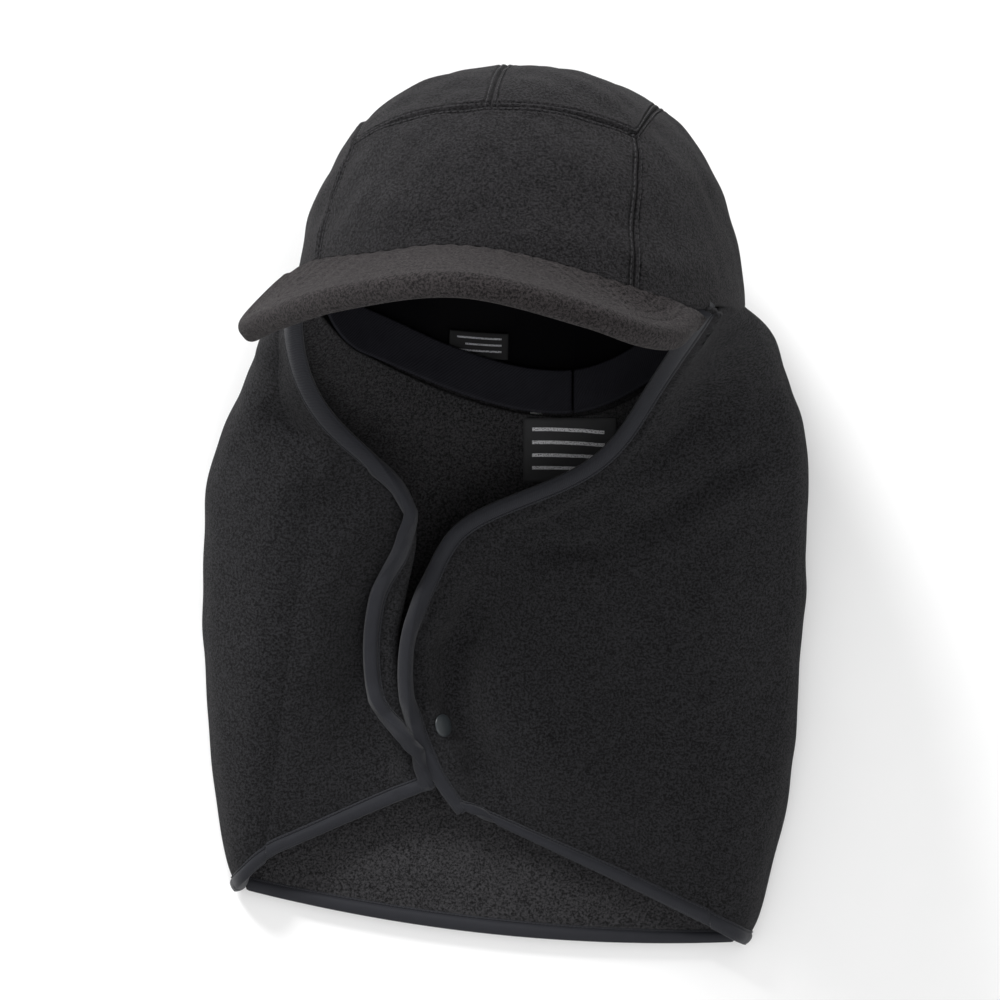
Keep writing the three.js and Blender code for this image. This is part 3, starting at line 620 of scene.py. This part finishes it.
# The inside of the crown.
stiff_inset = FLEECE + LAYER_GAP + INTERLINING / 2
line_inset = stiff_inset + INTERLINING / 2 + LAYER_GAP + LINING / 2
band_inset = line_inset + LINING / 2 + LAYER_GAP * 1.9 + BAND / 2
label_inset = line_inset + LINING / 2 + LAYER_GAP


def hem_rise(azimuth):
    return rise_to(base_height(azimuth) + 2)


def inner_cloth(name, node, azimuths, low, high, shares, inset, thickness, material, relief=0.0):
    middle = crown_grid(azimuths, low, high, shares, inset)
    normals = facing(middle, middle - CROWN_CENTRE)
    wave = relief * ripple(middle, 30, 11) * ease(borders(middle)[0] / 10)
    piece = cloth(name, middle, normals, thickness, material, wave, wave)
    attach(piece, "hood")
    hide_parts(node)
    return piece, middle


inner_cloth("crown_interlining", "front_interlining", front_az[::2], hem_rise, lambda a: panel_rise(a) - 0.3,
            np.linspace(0, 1, 30), stiff_inset, INTERLINING, lining_cloth_painted_shade)
pieces["lining_front"], flats["lining_front"] = inner_cloth(
    "crown_lining_front", "lining_front", front_az, hem_rise, lambda a: panel_rise(a) - 0.2,
    np.linspace(0, 1, 50), line_inset, LINING, lining_cloth_painted_shade, 0.5)
for side, sign in (("left", -1), ("right", 1)):
    over = sign * 180 * spacing(300, 0.8, 2.5)

    def lower(a):
        return np.where(np.abs(a) <= SEAM_AZIMUTH, panel_rise(a) + 0.2, hem_rise(a))
    name = f"lining_{side}"
    pieces[name], flats[name] = inner_cloth(f"crown_lining_{side}", name, over, lower, lambda a: 90 + 0 * a,
                                            np.linspace(0, 1, 60), line_inset, LINING, lining_cloth_painted_shade,
                                            0.5)
pieces["band"], flats["band"] = inner_cloth(
    "inner_sweatband", "sweatband", np.linspace(-179.4, 179.4, 400), base_rise,
    lambda a: rise_to(base_height(a) + BAND_HEIGHT), np.linspace(0, 1, 24), band_inset, BAND, band_knit,
    0.3)
size_mark = marked("size label", (0.004, 0.004, 0.005), (0.42, 0.42, 0.45),
                   [(3, 26, 3, 3.8), (3, 20, 6, 6.8), (3, 24, 9, 9.8)], 900.0)
pieces["size_label"], _ = inner_cloth(
    "inner_size_label", "size_label", np.linspace(-160, -142, 30), lambda a: rise_to(20 + 0 * a),
    lambda a: rise_to(33 + 0 * a), np.linspace(0, 1, 16), label_inset, 0.5, size_mark)
topstitching = sew("crown_topstitching", crown_rows, seam_thread, radius=0.16)
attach(topstitching, "hood")

# Visor --------------------------------------------------------------------------------------
VISOR_LEFT, VISOR_RIGHT, VISOR_COVER, VISOR_BOARD, VISOR_GAP = 65.0, 53.0, 3.4, 2.4, 0.7
VISOR_DEEP = VISOR_COVER * 2 + VISOR_BOARD + VISOR_GAP * 2
VISOR_EDGE = Line([(-95, 97, 114), (-112, 74, 142), (-98, 77, 176), (-68, 84, 215), (-14, 88, 247),
                   (38, 76, 237), (62, 68.5, 219), (76, 68, 200), (84, 76, 178)])


def visor_frame(s):
    """For each place s from -1 to 1 along the visor: root, outward and downward directions, and width."""
    def pair(t):
        t = np.clip(t, -1, 1)
        azimuth = np.where(t < 0, VISOR_LEFT, VISOR_RIGHT) * t
        return crown_point(azimuth, rise_to(base_height(azimuth) - 0.4), -0.4), VISOR_EDGE.at((t + 1) / 2)
    root, edge = pair(s)
    after, before = pair(s + 0.03), pair(s - 0.03)
    out = unit(edge - root)
    along = unit(after[0] + after[1] - before[0] - before[1])
    down = unit(np.cross(along, out))
    down = np.where(down[:, 1:2] > 0, -down, down)
    return root, out, down, length(edge - root), along


def visor_grid(stations, outline):
    """Rings of a part of the visor, each an outline of (distance out, distance down) in its section."""
    root, out, down, width, _ = visor_frame(stations)
    x, y = outline(width)
    return root[:, None] + out[:, None] * x[..., None] + down[:, None] * y[..., None]


def arc(x, y, radius, start_angle, end_angle, count=9):
    a = np.radians(np.linspace(start_angle, end_angle, count))
    return x + radius * np.cos(a), y + radius * np.sin(a)


def cover_outline(width):
    """Top cover: over the top, round two soft corners of the edge, and back along the underside."""
    top, bottom = 4.6, 3.6
    share = np.linspace(0, 1, 110) ** 0.9
    over_x = -2 + (width - top + 2) * share
    over_y = 0 * over_x + 0.9 * bell(over_x, 3)
    upper = arc(width - top, top, top, -90, 0)
    lower = arc(width - bottom, VISOR_DEEP - bottom, bottom, 0, 90)
    back_x = np.hstack([width - bottom - 1.5, width - 7.5 + 0 * width])
    back_x = np.hstack([back_x, -2 + (width - 7.5 + 2) * np.linspace(1, 0, 40)[None]])
    x = np.hstack([over_x, upper[0], lower[0], back_x])
    y = np.hstack([over_y, np.broadcast_to(upper[1], upper[0].shape),
                   np.broadcast_to(lower[1], lower[0].shape),
                   np.full((len(width), 1), VISOR_DEEP), np.full((len(width), 1), VISOR_DEEP - 0.4),
                   np.full((len(width), 40), VISOR_COVER)])
    return x, y


def rounded_ends(stations, build):
    """Rings along the visor with three more past each end, each thinner, so the ends are round."""
    body = build(stations)
    _, _, down, _, along = visor_frame(stations)
    caps = []
    for index, sign in ((0, -1), (-1, 1)):
        ring, centre = body[index], body[index].mean(0)
        rings = []
        for angle in np.radians([25, 48, 68, 83]):
            flat = ring - centre
            deep = (flat @ down[index])[:, None] * down[index]
            rings.append(centre + flat - deep * (1 - math.cos(angle))
                         + sign * along[index] * 3.0 * math.sin(angle))
        caps.append(np.array(rings))
    return np.concatenate([caps[0][::-1], body, caps[1]])


stations = np.linspace(-1, 1, 420)
ROW_STEP = 6.2


def stitched_cover(s):
    """Top cover with the ditches of its rows of stitches, which follow the visor's edge."""
    x, y = cover_outline(visor_frame(s)[3])
    width = visor_frame(s)[3]
    from_edge = width - x
    place = np.broadcast_to(s[:, None] * 100, x.shape)
    top = np.arange(x.shape[1])[None] < 112
    relief = 0
    for row in range(1, 10):
        at = 2.5 + row * ROW_STEP
        depth = 0.42 + 0.25 * np.sin(place * 1.7 + row * 2.3) * np.sin(place * 0.63 + row)
        fade = 0.35 + 0.65 * ease((place - 25) / 40) + 0.35 * ease((-place - 35) / 40)
        relief = relief + depth * fade * bell(from_edge - at, 0.75)
    pucker = 0.35 * np.sin(place * 3.9 + from_edge * 0.5)
    pucker = pucker * ease((place - 45) / 30) * ease((from_edge - 9) / 8)
    relief = relief + pucker + 0.5 * np.sin(place * 0.8 + from_edge * 0.08) * ease((from_edge - 6) / 20) * 0.5
    y = y + np.where(top, relief, 0)
    root, out, down, _, _ = visor_frame(s)
    return root[:, None] + out[:, None] * x[..., None] + down[:, None] * y[..., None]


visor_cover = tube("visor_cover", rounded_ends(stations, stitched_cover), visor_fleece_painted_light, 0.02)
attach(visor_cover, "hood")
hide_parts("visor_top_cover")


def slab(inset, top, bottom, ends):
    """Closed flat part of the visor between two depths, its edge rounded."""
    def outline(width):
        end = width - inset
        x = np.hstack([-1 + (end + 1) * np.linspace(0, 1, 40)[None], end + 0.4,
                       -1 + (end + 1) * np.linspace(1, 0, 40)[None]])
        y = np.hstack([np.full((len(width), 40), top), np.full((len(width), 1), (top + bottom) / 2),
                       np.full((len(width), 40), bottom)])
        return x, y
    return visor_grid(np.linspace(-ends, ends, 160), outline)


visor_lower = tube("visor_lower_cover",
                   slab(6.5, VISOR_DEEP - VISOR_COVER, VISOR_DEEP - 0.3, 0.985), visor_fleece_painted_light)
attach(visor_lower, "hood")
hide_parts("visor_under_cover")
visor_core = tube("visor_stiffener", slab(9.0, VISOR_COVER + 0.5, VISOR_COVER + 0.5 + VISOR_BOARD, 0.88),
                  board_plastic)
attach(visor_core, "hood")
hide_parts("visor_board")

# Cape ---------------------------------------------------------------------------------------
FOLD_BULGE = 5.0


def ring(azimuth):
    azimuth = np.asarray(azimuth, float)
    return crown_point(azimuth, rise_to(base_height(azimuth) - 0.5), FLEECE / 2 + 1.2)


HALVES = {
    "left": dict(
        sign=-1, visor_end=-68, fold_top=-80, hollow=2,
        fold=[(-99, 80, 74), (-108, 68, 58), (-116, 50, 44), (-127, 26, 34), (-134, 2, 27), (-135.5, -32, 21),
              (-135, -77, 16), (-133, -116, 14), (-130, -140, 13), (-125.5, -166, 12.5), (-121, -180, 12)],
        cheek=[(-88, 73, 90), (-86, 59, 77)], hinge=[(-83, 45, 64), (-109.5, -164, 16)],
        edge=[(-78, 40, 60.5), (-63.5, 25.5, 52), (-46, 9, 43), (-40, -4, 38), (-39, -18, 31),
              (-42.5, -36, 24), (-47, -54, 20), (-48.5, -72, 17), (-47, -88, 16), (-43, -104, 15),
              (-36, -118, 14.5), (-30.5, -131, 14)],
        turn=[(-136, 0), (-124, 40), (-110, 115), (-95, 160), (-80, 172), (-38, 172), (-18, 130), (4, 60),
              (24, 0)],
        strip=[(-131, 5), (-118, 5), (-104, 8), (-88, 13), (-48, 13.5), (-24, 9), (-4, 5), (20, 5)],
        roll=6.0),
    "right": dict(
        sign=1, visor_end=69, fold_top=104, hollow=9,
        fold=[(118, 74, 86), (125, 62, 68), (131, 48, 54), (137, 27, 44), (140, 2, 36), (140, -28, 28),
              (138.5, -56, 22), (136, -94, 17), (134, -120, 15), (131.5, -144, 14), (126, -165, 13),
              (117.5, -196, 12), (112, -204, 12)],
        cheek=[(76, 66, 96), (69, 56, 80)], hinge=[(64.5, 44.5, 66), (97.5, -195, 16)],
        edge=[(60, 40, 63.5), (51, 26, 57), (32, 10.5, 46), (10, 2.5, 39), (-7, -1.5, 35), (-22, -13, 32),
              (-32, -31, 28), (-40, -51, 24), (-44, -72, 22), (-43.5, -92, 21), (-39.5, -109, 20),
              (-32, -126, 17), (-19, -144, 15)],
        turn=[(-118, 0), (-104, 30), (-88, 66), (-64, 70), (-46, 40), (-26, 0)],
        strip=[(-144, 3.5), (-128, 5), (-112, 8), (-96, 8.5), (-28, 8.5)], roll=1.5),
}


def back_level(fold_height, v):
    return fold_height - 4 + (FLEECE / 2 - fold_height + 4) * ease(v / 0.22)


def bent(corners, radii, shares):
    """Path through corners at shares of its length, each inner corner rounded as a quadratic Bezier curve
    that starts and ends a radius from it."""
    legs = [length(b - a)[:, 0] for a, b in zip(corners, corners[1:])]
    marks = np.cumsum([0 * legs[0]] + legs, axis=0)
    s = marks[-1][:, None] * shares[None]
    path = np.zeros((*s.shape, 3))
    def straight(at):
        place = np.zeros((*at.shape, 3))
        for i, (a, b) in enumerate(zip(corners, corners[1:])):
            t = (at - marks[i][:, None]) / np.maximum(legs[i][:, None], 1e-6)
            here = (t >= 0) if i else np.ones_like(t, bool)
            step = a[:, None] + (b - a)[:, None] * t[..., None]
            place = np.where(here[..., None], step, place)
        return place
    path = straight(s)
    for i, radius in enumerate(radii, 1):
        radius = np.minimum(radius, np.minimum(legs[i - 1], legs[i]) * 0.49) if i > 1 else np.minimum(
            radius, np.minimum(legs[0], legs[1] * 0.45))
        mark, r = marks[i][:, None], np.maximum(radius, 1e-3)[:, None]
        t = (s - mark + r) / (2 * r)
        start_at, end_at = straight(mark - r), straight(mark + r)
        curve = (1 - t[..., None]) ** 2 * start_at + 2 * ((1 - t) * t)[..., None] * corners[i][:, None] \
            + t[..., None] ** 2 * end_at
        path = np.where(((t > 0) & (t < 1))[..., None], curve, path)
    return path, s, marks


def blur(values, reach):
    """Moving average down the rows, ends kept."""
    kernel = np.hanning(2 * reach + 1)
    kernel /= kernel.sum()
    padded = np.concatenate([np.repeat(values[:1], reach, 0), values, np.repeat(values[-1:], reach, 0)])
    out = np.stack([np.convolve(padded[:, k], kernel, "valid") for k in range(values.shape[1])], -1)
    out[0], out[-1] = values[0], values[-1]
    return out


def crease(points, ends, width, height):
    """Fold in cloth: a hump across the line between two (x, y) places, dying out towards both."""
    (ax, ay), (bx, by) = ends
    way = np.array([bx - ax, by - ay])
    size = np.hypot(*way)
    rel = points[..., :2] - np.array([ax, ay])
    along = rel @ way / size ** 2
    off = (rel @ np.array([-way[1], way[0]])) / size
    return height * bell(off, width) * ease(along / 0.3) * ease((1 - along) / 0.3)


CREASES = {
    "left": [(((-112, 42), (-78, 26)), 7, -2.2), (((-100, 5), (-60, -8)), 12, -1.5),
             (((-60, 18), (-52, -26)), 9, 1.2), (((-126, -60), (-96, -100)), 16, 1.2),
             (((-70, 10), (-84, -20)), 9, -1.0)],
    "right": [(((44, -24), (128, 28)), 7, -3.0), (((50, -36), (120, 14)), 8, 1.8),
              (((2, -22), (56, -22)), 6, -2.2), (((6, -32), (60, -33)), 7, 1.2),
              (((90, 66), (101, 46)), 4, 1.1), (((60, -90), (110, -70)), 18, 1.0),
              (((-14, -52), (-16, -118)), 9, -1.5), (((10, -120), (70, -150)), 16, 1.2)],
}


def cape_half(half):
    """Front half of the cape: rows from the foot of its side, over the side fold, across the hinge line to
    the front edge, and on round the strip that is turned out there."""
    fold = Line([ring(half["fold_top"]), *half["fold"]])
    inner = Line([ring(half["visor_end"]), *half["cheek"], *half["hinge"]])
    edge = Line(half["edge"])
    top, bottom = np.array(half["hinge"], float)
    first = inner.points[0, 1]
    split = (first - top[1]) / (first - inner.points[-1, 1])
    v = spacing(285, 0.6, 0.95, 10)
    start, middle = fold.down(v), inner.down(v)
    h = (middle[:, 1] - top[1]) / (bottom[1] - top[1])
    end = np.where((v > split)[:, None], edge.down(np.clip((h - 0.02) / 0.98, 0, 1)), middle)
    end = blur(end, 26)
    guide = start + (end - start) * 0.6
    middle = guide + (middle - guide) * ease((v - split) / 0.14)[:, None]
    foot = start.copy()
    foot[:, 2] = back_level(start[:, 2], v) + 1.2
    angle = np.radians(station(half["turn"], end[:, 1]))[:, None]
    strip_width = station(half["strip"], end[:, 1])[:, None]
    along = blur(np.gradient(end, axis=0), 20)
    out = unit(np.stack([along[:, 1], -along[:, 0], 0 * v], -1))
    out = np.where(((end - start) * out).sum(1, keepdims=True) < 0, -out, out)
    roll = end - out * strip_width * np.maximum(np.cos(angle), 0)
    top_of_roll = roll + np.array([0, 0, 1.0]) * half["roll"] * ease(angle / 2)
    tip = top_of_roll + strip_width * (out * np.cos(angle) + np.array([0, 0, 1.0]) * np.sin(angle))
    corners = [foot, start, middle, roll, top_of_roll, tip]
    shares = np.r_[np.linspace(0, 0.12, 40, endpoint=False), np.linspace(0.12, 0.8, 150, endpoint=False),
                   np.linspace(0.8, 1, 90)]
    path, s, marks = bent(corners, [9.0, 26.0, 4.0, 3.0], shares)
    side_share = np.clip((s - marks[1][:, None]) / np.maximum(marks[2] - marks[1], 1e-6)[:, None], 0, 1)
    width = (marks[2] - marks[1])[:, None]
    path[..., 2] += FOLD_BULGE * ease(width / 40) * 4 * side_share * (1 - side_share)
    flap = (marks[3] - marks[2])[:, None]
    distance = np.clip(marks[3][:, None] - s, 0, None)
    level = end[:, 1:2]
    hollow = half["hollow"] * ease((-10 - level) / 50) * ease((level + 140) / 30) * bell(distance - 22, 14)
    sunk = ease((distance - 4) / 12) * ease((flap - distance) / 40) * (hollow + 3)
    path[..., 2] -= sunk * (s < marks[3][:, None])
    return path


def cape_relief(path, creases, edge_distance, seed):
    """Soft drape of the fleece: creases and slow waves, flat along the bound edges."""
    height = 0.9 * ripple(path, 60, seed) + 0.3 * ripple(path, 22, seed + 1)
    for ends, width, size in creases:
        height = height + crease(path, ends, width, size)
    return height * ease((edge_distance - 5) / 14)


def tape(name, place, up, node, material=binding_knit, lift=0.0):
    """Folded binding on an edge: a padded face each side of the cloth, round over its edge. Its flange
    is sewn down. place and up are points and normals of the cloth's middle in from its edge."""
    count = place.shape[1]
    d = TAPE_STOPS
    body = np.sqrt(np.clip(1 - np.abs((d - 2.3) / 3.0) ** 2.3, 0, 1))
    height = FLEECE / 2 + 0.25 + 1.7 * body + np.where(d > 5.4, 0.3 * bell(d - 5.9, 0.5), 0) + lift
    height[-1] = FLEECE / 2 - 0.3
    away = unit(place[:, 0] - place[:, 2])
    over = place + up * height[None, :, None]
    under = place - up * (height - lift)[None, :, None]
    around = np.radians(np.linspace(80, -80, 9))
    radius = height[0]
    nose = place[:, :1] + away[:, None] * (0.4 + 0.9 * np.cos(around)[None, :, None]) \
        + up[:, :1] * (radius * np.sin(around))[None, :, None]
    rings = np.concatenate([over[:, ::-1], nose, under], 1)
    piece = tube(name, rings, material)
    lines = place + up * (height + 0.02)[None, :, None]
    below = place - up * (height - lift + 0.02)[None, :, None]
    row = count - 4
    stitches = sew(f"{name}_stitches", [(lines[:, row], up[:, row]), (below[:, row], -up[:, row])],
                   thread_dark,
                   1.3, 0.6, 0.17)
    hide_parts(*node)
    return piece, stitches


TAPE_STOPS = 0.72 * np.array([0.0, 0.5, 1.1, 1.8, 2.6, 3.5, 4.4, 5.2, 6.0, 6.6, 7.1, 7.5, 7.8, 8.1, 8.4,
                              8.7, 9.0])
cape = {}
for side, half in HALVES.items():
    flap = f"{side}_flap"
    joint = JOINTS[f"{flap}_fold"]
    axis = np.array(joint["axis"], float)
    across = unit(np.cross(axis, [0, 0, 1.0])) * half["sign"]
    across = across if across[0] * half["sign"] > 0 else -across
    path = cape_half(half)
    up = facing(path, np.array([0, 0, 1.0]))
    foot_d, hem_d, wall_d, front_d = borders(path)
    nearest = np.minimum(np.minimum(hem_d, front_d), np.minimum(foot_d + 4, wall_d + 6))
    path = path + up * cape_relief(path, CREASES[side], nearest, 21 if side == "left" else 31)[..., None]
    up = facing(path, np.array([0, 0, 1.0]))
    piece = cloth(f"cape_front_{side}", path, up, FLEECE, cape_fleece)
    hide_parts(f"side_{side}", f"flap_{side}")
    place, lift = strip(path, up, "end", TAPE_STOPS)
    front = tape(f"front_tape_{side}", place, lift, (f"face_binding_{side}", f"front_binding_{side}"))
    place, lift = strip(path, up, "top", TAPE_STOPS)
    hem = tape(f"hem_tape_{side}", place[3:-3], lift[3:-3],
               (f"side_hem_binding_{side}", f"flap_hem_binding_{side}"), lift=0.1)
    cape[side] = dict(piece=piece, path=path, up=up, tapes=[*front, *hem], front_d=front_d)
    for item in (piece, *front, *hem):
        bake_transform(item)
    pieces[f"cape_front_{side}"], flats[f"cape_front_{side}"] = piece, path

# Back of the cape.
BACK_INSET, HEM_BOW = FLEECE * 1.6, 8.0
folds = {side: Line([ring(half["fold_top"]), *half["fold"]]) for side, half in HALVES.items()}


def back_grid(u, v):
    """Back of the cape: rows from one side fold to the other, dropping from the crown to the table."""
    first = HALVES["left"]["fold_top"] - 2.5
    span = 360 - HALVES["right"]["fold_top"] - 2.5 + first
    high = ring((first - span * u + 540) % 360 - 180)[None]
    left, right = folds["left"].down(v)[:, None], folds["right"].down(v)[:, None]
    left_foot, right_foot = folds["left"].points[-1], folds["right"].points[-1]
    foot = left_foot + (right_foot - left_foot) * u[None, :, None]
    u, v = u[None], v[:, None]
    inset = BACK_INSET * ease(v / 0.1)
    fall = ease(v / 0.22)
    far = np.abs(2 * u - 1)
    x = left[..., 0] + inset + (right[..., 0] - left[..., 0] - 2 * inset) * u
    px = high[..., 0] + (x - high[..., 0]) * np.maximum(fall, far ** 3)
    py = high[..., 1] + (foot[..., 1] - HEM_BOW * (1 - far ** 2) - high[..., 1]) * v
    lift = 2.2 * ease((v - 0.8) / 0.12)
    pz = high[..., 2] + (FLEECE / 2 - high[..., 2]) * fall + lift
    left_level = back_level(left[..., 2], v) + lift
    right_level = back_level(right[..., 2], v) + lift
    pz = pz + (left_level - pz) * bell(u, 0.02) + (right_level - pz) * bell(1 - u, 0.02)
    return np.stack([px, py, pz], -1)


u_shares, v_shares = spacing(260, 0.8, 1.6), spacing(280, 0.8, 1.6, 10)
back = back_grid(u_shares, v_shares)
back_up = facing(back, np.array([0, 0, 1.0]))
rows, rows_end, columns, columns_end = borders(back)
calm = ease(np.minimum(columns, columns_end) / 20) * ease(rows / 60) * ease((rows_end - 9) / 16)
back_bump = calm * (0.7 * ripple(back, 55, 51) + 0.35 * ripple(back, 20, 52) + 0.9)
piece = cloth("cape_back_panel", back, back_up, FLEECE, inner_fleece, back_bump, 0 * back_bump)
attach(piece, "hood")
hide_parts("cape_back")
pieces["cape_back"], flats["cape_back"] = piece, back
place, lift = strip(back, back_up, "top", TAPE_STOPS)
back_tape = tape("back_hem_tape", place, lift, ("back_hem_binding",))
for item in back_tape:
    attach(item, "hood")

# Neck label, on the inside of the back.
neck_mark = marked("neck label", (0.020, 0.020, 0.022), (0.62, 0.62, 0.64),
                   [(4, 38, 6, 7.6), (4, 38, 12, 13.6), (4, 38, 18, 19.6), (4, 38, 24, 25.6)], 900.0)
low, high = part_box("neck_label")
label_x = np.linspace(low[0] / MM - PATTERN_ORIGIN[0], high[0] / MM - PATTERN_ORIGIN[0], 24)
label_y = np.linspace(low[1] / MM - PATTERN_ORIGIN[1], high[1] / MM - PATTERN_ORIGIN[1], 20) + 3
flat_back = back.reshape(-1, 3)
gx, gy = np.meshgrid(label_x, label_y)
gap2 = (flat_back[None, :, 0] - gx.reshape(-1, 1)) ** 2 + (flat_back[None, :, 1] - gy.reshape(-1, 1)) ** 2
nearest = gap2.argmin(1)
gz = (flat_back[nearest, 2] + back_bump.reshape(-1)[nearest]).reshape(gx.shape)
for _ in range(3):
    gz[1:-1, 1:-1] = (gz[1:-1, 1:-1] + gz[:-2, 1:-1] + gz[2:, 1:-1] + gz[1:-1, :-2] + gz[1:-1, 2:]) / 5
label = np.stack([gx, gy, gz + FLEECE / 2 + 0.6], -1)
piece = cloth("inner_neck_label", label, facing(label, np.array([0, 0, 1.0])), 0.5, neck_mark)
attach(piece, "hood")
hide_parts("neck_label")

# Snap ---------------------------------------------------------------------------------------
def lathe(name, profile, place, axis, material, body, node):
    """Turned part: a profile of (radius, height) in mm swept round an axis."""
    axis = unit(axis)
    side = unit(np.cross(axis, [0, 1.0, 0.2]))
    other = np.cross(axis, side)
    angle = np.linspace(0, 2 * math.pi, 48, endpoint=False)
    r, y = np.array(profile, float).T
    circle = np.cos(angle)[:, None] * side + np.sin(angle)[:, None] * other
    rings = place + r[:, None, None] * circle[None] + (y[:, None] * axis)[:, None]
    obj = tube(name, rings, material, 0.001)
    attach(obj, body)
    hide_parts(node)
    return obj


def snap_seat(side, inward, level):
    """Middle of the cloth and its outer normal, a distance in from the roll line at a level."""
    data = cape[side]
    row = np.abs(data["path"][:, -1, 1] - level).argmin()
    from_edge = data["front_d"][row]
    column = np.abs(from_edge - inward).argmin()
    return data["path"][row, column], data["up"][row, column]


SNAP = 5.2
seat, seat_up = snap_seat("right", 16.5, -103.0)
dome = [(0.4, -0.4), (SNAP - 0.5, -0.3), (SNAP, 0.15), (SNAP, 0.45), (SNAP - 0.35, 0.85), (SNAP - 1.1, 1.15),
        (SNAP - 2.2, 1.4), (2.2, 1.55), (1.0, 1.6), (0.02, 1.62)]
lathe("snap_button", dome, seat + seat_up * (FLEECE / 2 + 0.1), seat_up, snap_lacquer, "right_flap",
      "snap_cap")
ring_profile = [(1.4, 0.0), (SNAP - 0.4, 0.0), (SNAP - 0.1, 0.4), (SNAP - 0.4, 1.2), (SNAP - 1.2, 1.5),
                (2.6, 1.5), (2.2, 0.7), (1.4, 0.6)]
lathe("snap_socket_ring", ring_profile, seat - seat_up * (FLEECE / 2), -seat_up, snap_steel, "right_flap",
      "snap_socket")
seat, seat_up = snap_seat("left", 17.5, -95.0)
lathe("snap_stud_post", [(0.3, 0), (SNAP - 0.4, 0), (SNAP - 0.3, 0.6), (2.4, 0.8), (1.9, 1.0), (2.1, 2.1),
                         (1.5, 2.5), (0.02, 2.5)], seat + seat_up * (FLEECE / 2), seat_up, snap_steel,
      "left_flap", "snap_stud")
lathe("snap_stud_back", [(0.3, 0), (SNAP - 0.5, 0), (SNAP - 0.5, 0.5), (SNAP - 1.2, 0.9), (0.02, 1.0)],
      seat - seat_up * (FLEECE / 2), -seat_up, snap_steel, "left_flap", "snap_back")


# Soft pieces ---------------------------------------------------------------------------------
def flat_size(surface):
    """Width and length of a cloth before sewing: the longest row and column of its middle surface."""
    return float(run(surface, 1)[:, -1].max()) * MM, float(run(surface, 0)[-1].max()) * MM


def area_of(surface):
    across, down = np.diff(surface, axis=1)[:-1], np.diff(surface, axis=0)[:, :-1]
    return float(np.linalg.norm(np.cross(across, down), axis=-1).sum()) * MM * MM


for name, surface in flats.items():
    width, tall = flat_size(surface)
    min(max(area_of(surface), 0.31 * width * tall), width * tall)

# Room, light and camera ----------------------------------------------------------------------
floor = bpy.data.meshes.new("floor")
floor.from_pydata([(-6, -6, 0), (6, -6, 0), (6, 6, 0), (-6, 6, 0)], [], [(0, 1, 2, 3)])
floor_object = bpy.data.objects.new("floor", floor)
bpy.context.collection.objects.link(floor_object)
paper, g, surface = start("pale floor")
place = g.add("ShaderNodeTexCoord").outputs["Object"]
g.feed(surface.inputs["Base Color"],
       g.mix(g.noise(place, 30.0), (0.96, 0.96, 0.96, 1), (0.99, 0.99, 0.99, 1)))
surface.inputs["Roughness"].default_value = 0.9
floor.materials.append(paper)

world = bpy.data.worlds.new("studio")
world.use_nodes = True
world.node_tree.nodes["Background"].inputs["Color"].default_value = (1, 1, 1, 1)
world.node_tree.nodes["Background"].inputs["Strength"].default_value = 0.72
bpy.context.scene.world = world


def lamp(name, place, aim, size, power):
    data = bpy.data.lights.new(name, "AREA")
    data.shape, data.size, data.energy = "DISK", size, power
    obj = bpy.data.objects.new(name, data)
    obj.location = place
    obj.rotation_euler = (Vector(aim) - Vector(place)).to_track_quat("-Z", "Y").to_euler()
    bpy.context.collection.objects.link(obj)


lamp("key", (-1.2, 2.1, 1.25), (0, 0, 0.05), 0.8, 78)
lamp("fill", (0.4, -0.9, 1.8), (0, 0, 0.05), 1.6, 10)

bpy.context.scene.view_settings.view_transform = "Standard"
camera = bpy.data.cameras.new("camera")
camera.sensor_width, camera.lens = 36.0, 36.0 * 1.5 / 0.465
camera_object = bpy.data.objects.new("camera", camera)
camera_object.location = (*(PATTERN_ORIGIN[:2] * MM), 1.5)
bpy.context.collection.objects.link(camera_object)
bpy.context.scene.camera = camera_object
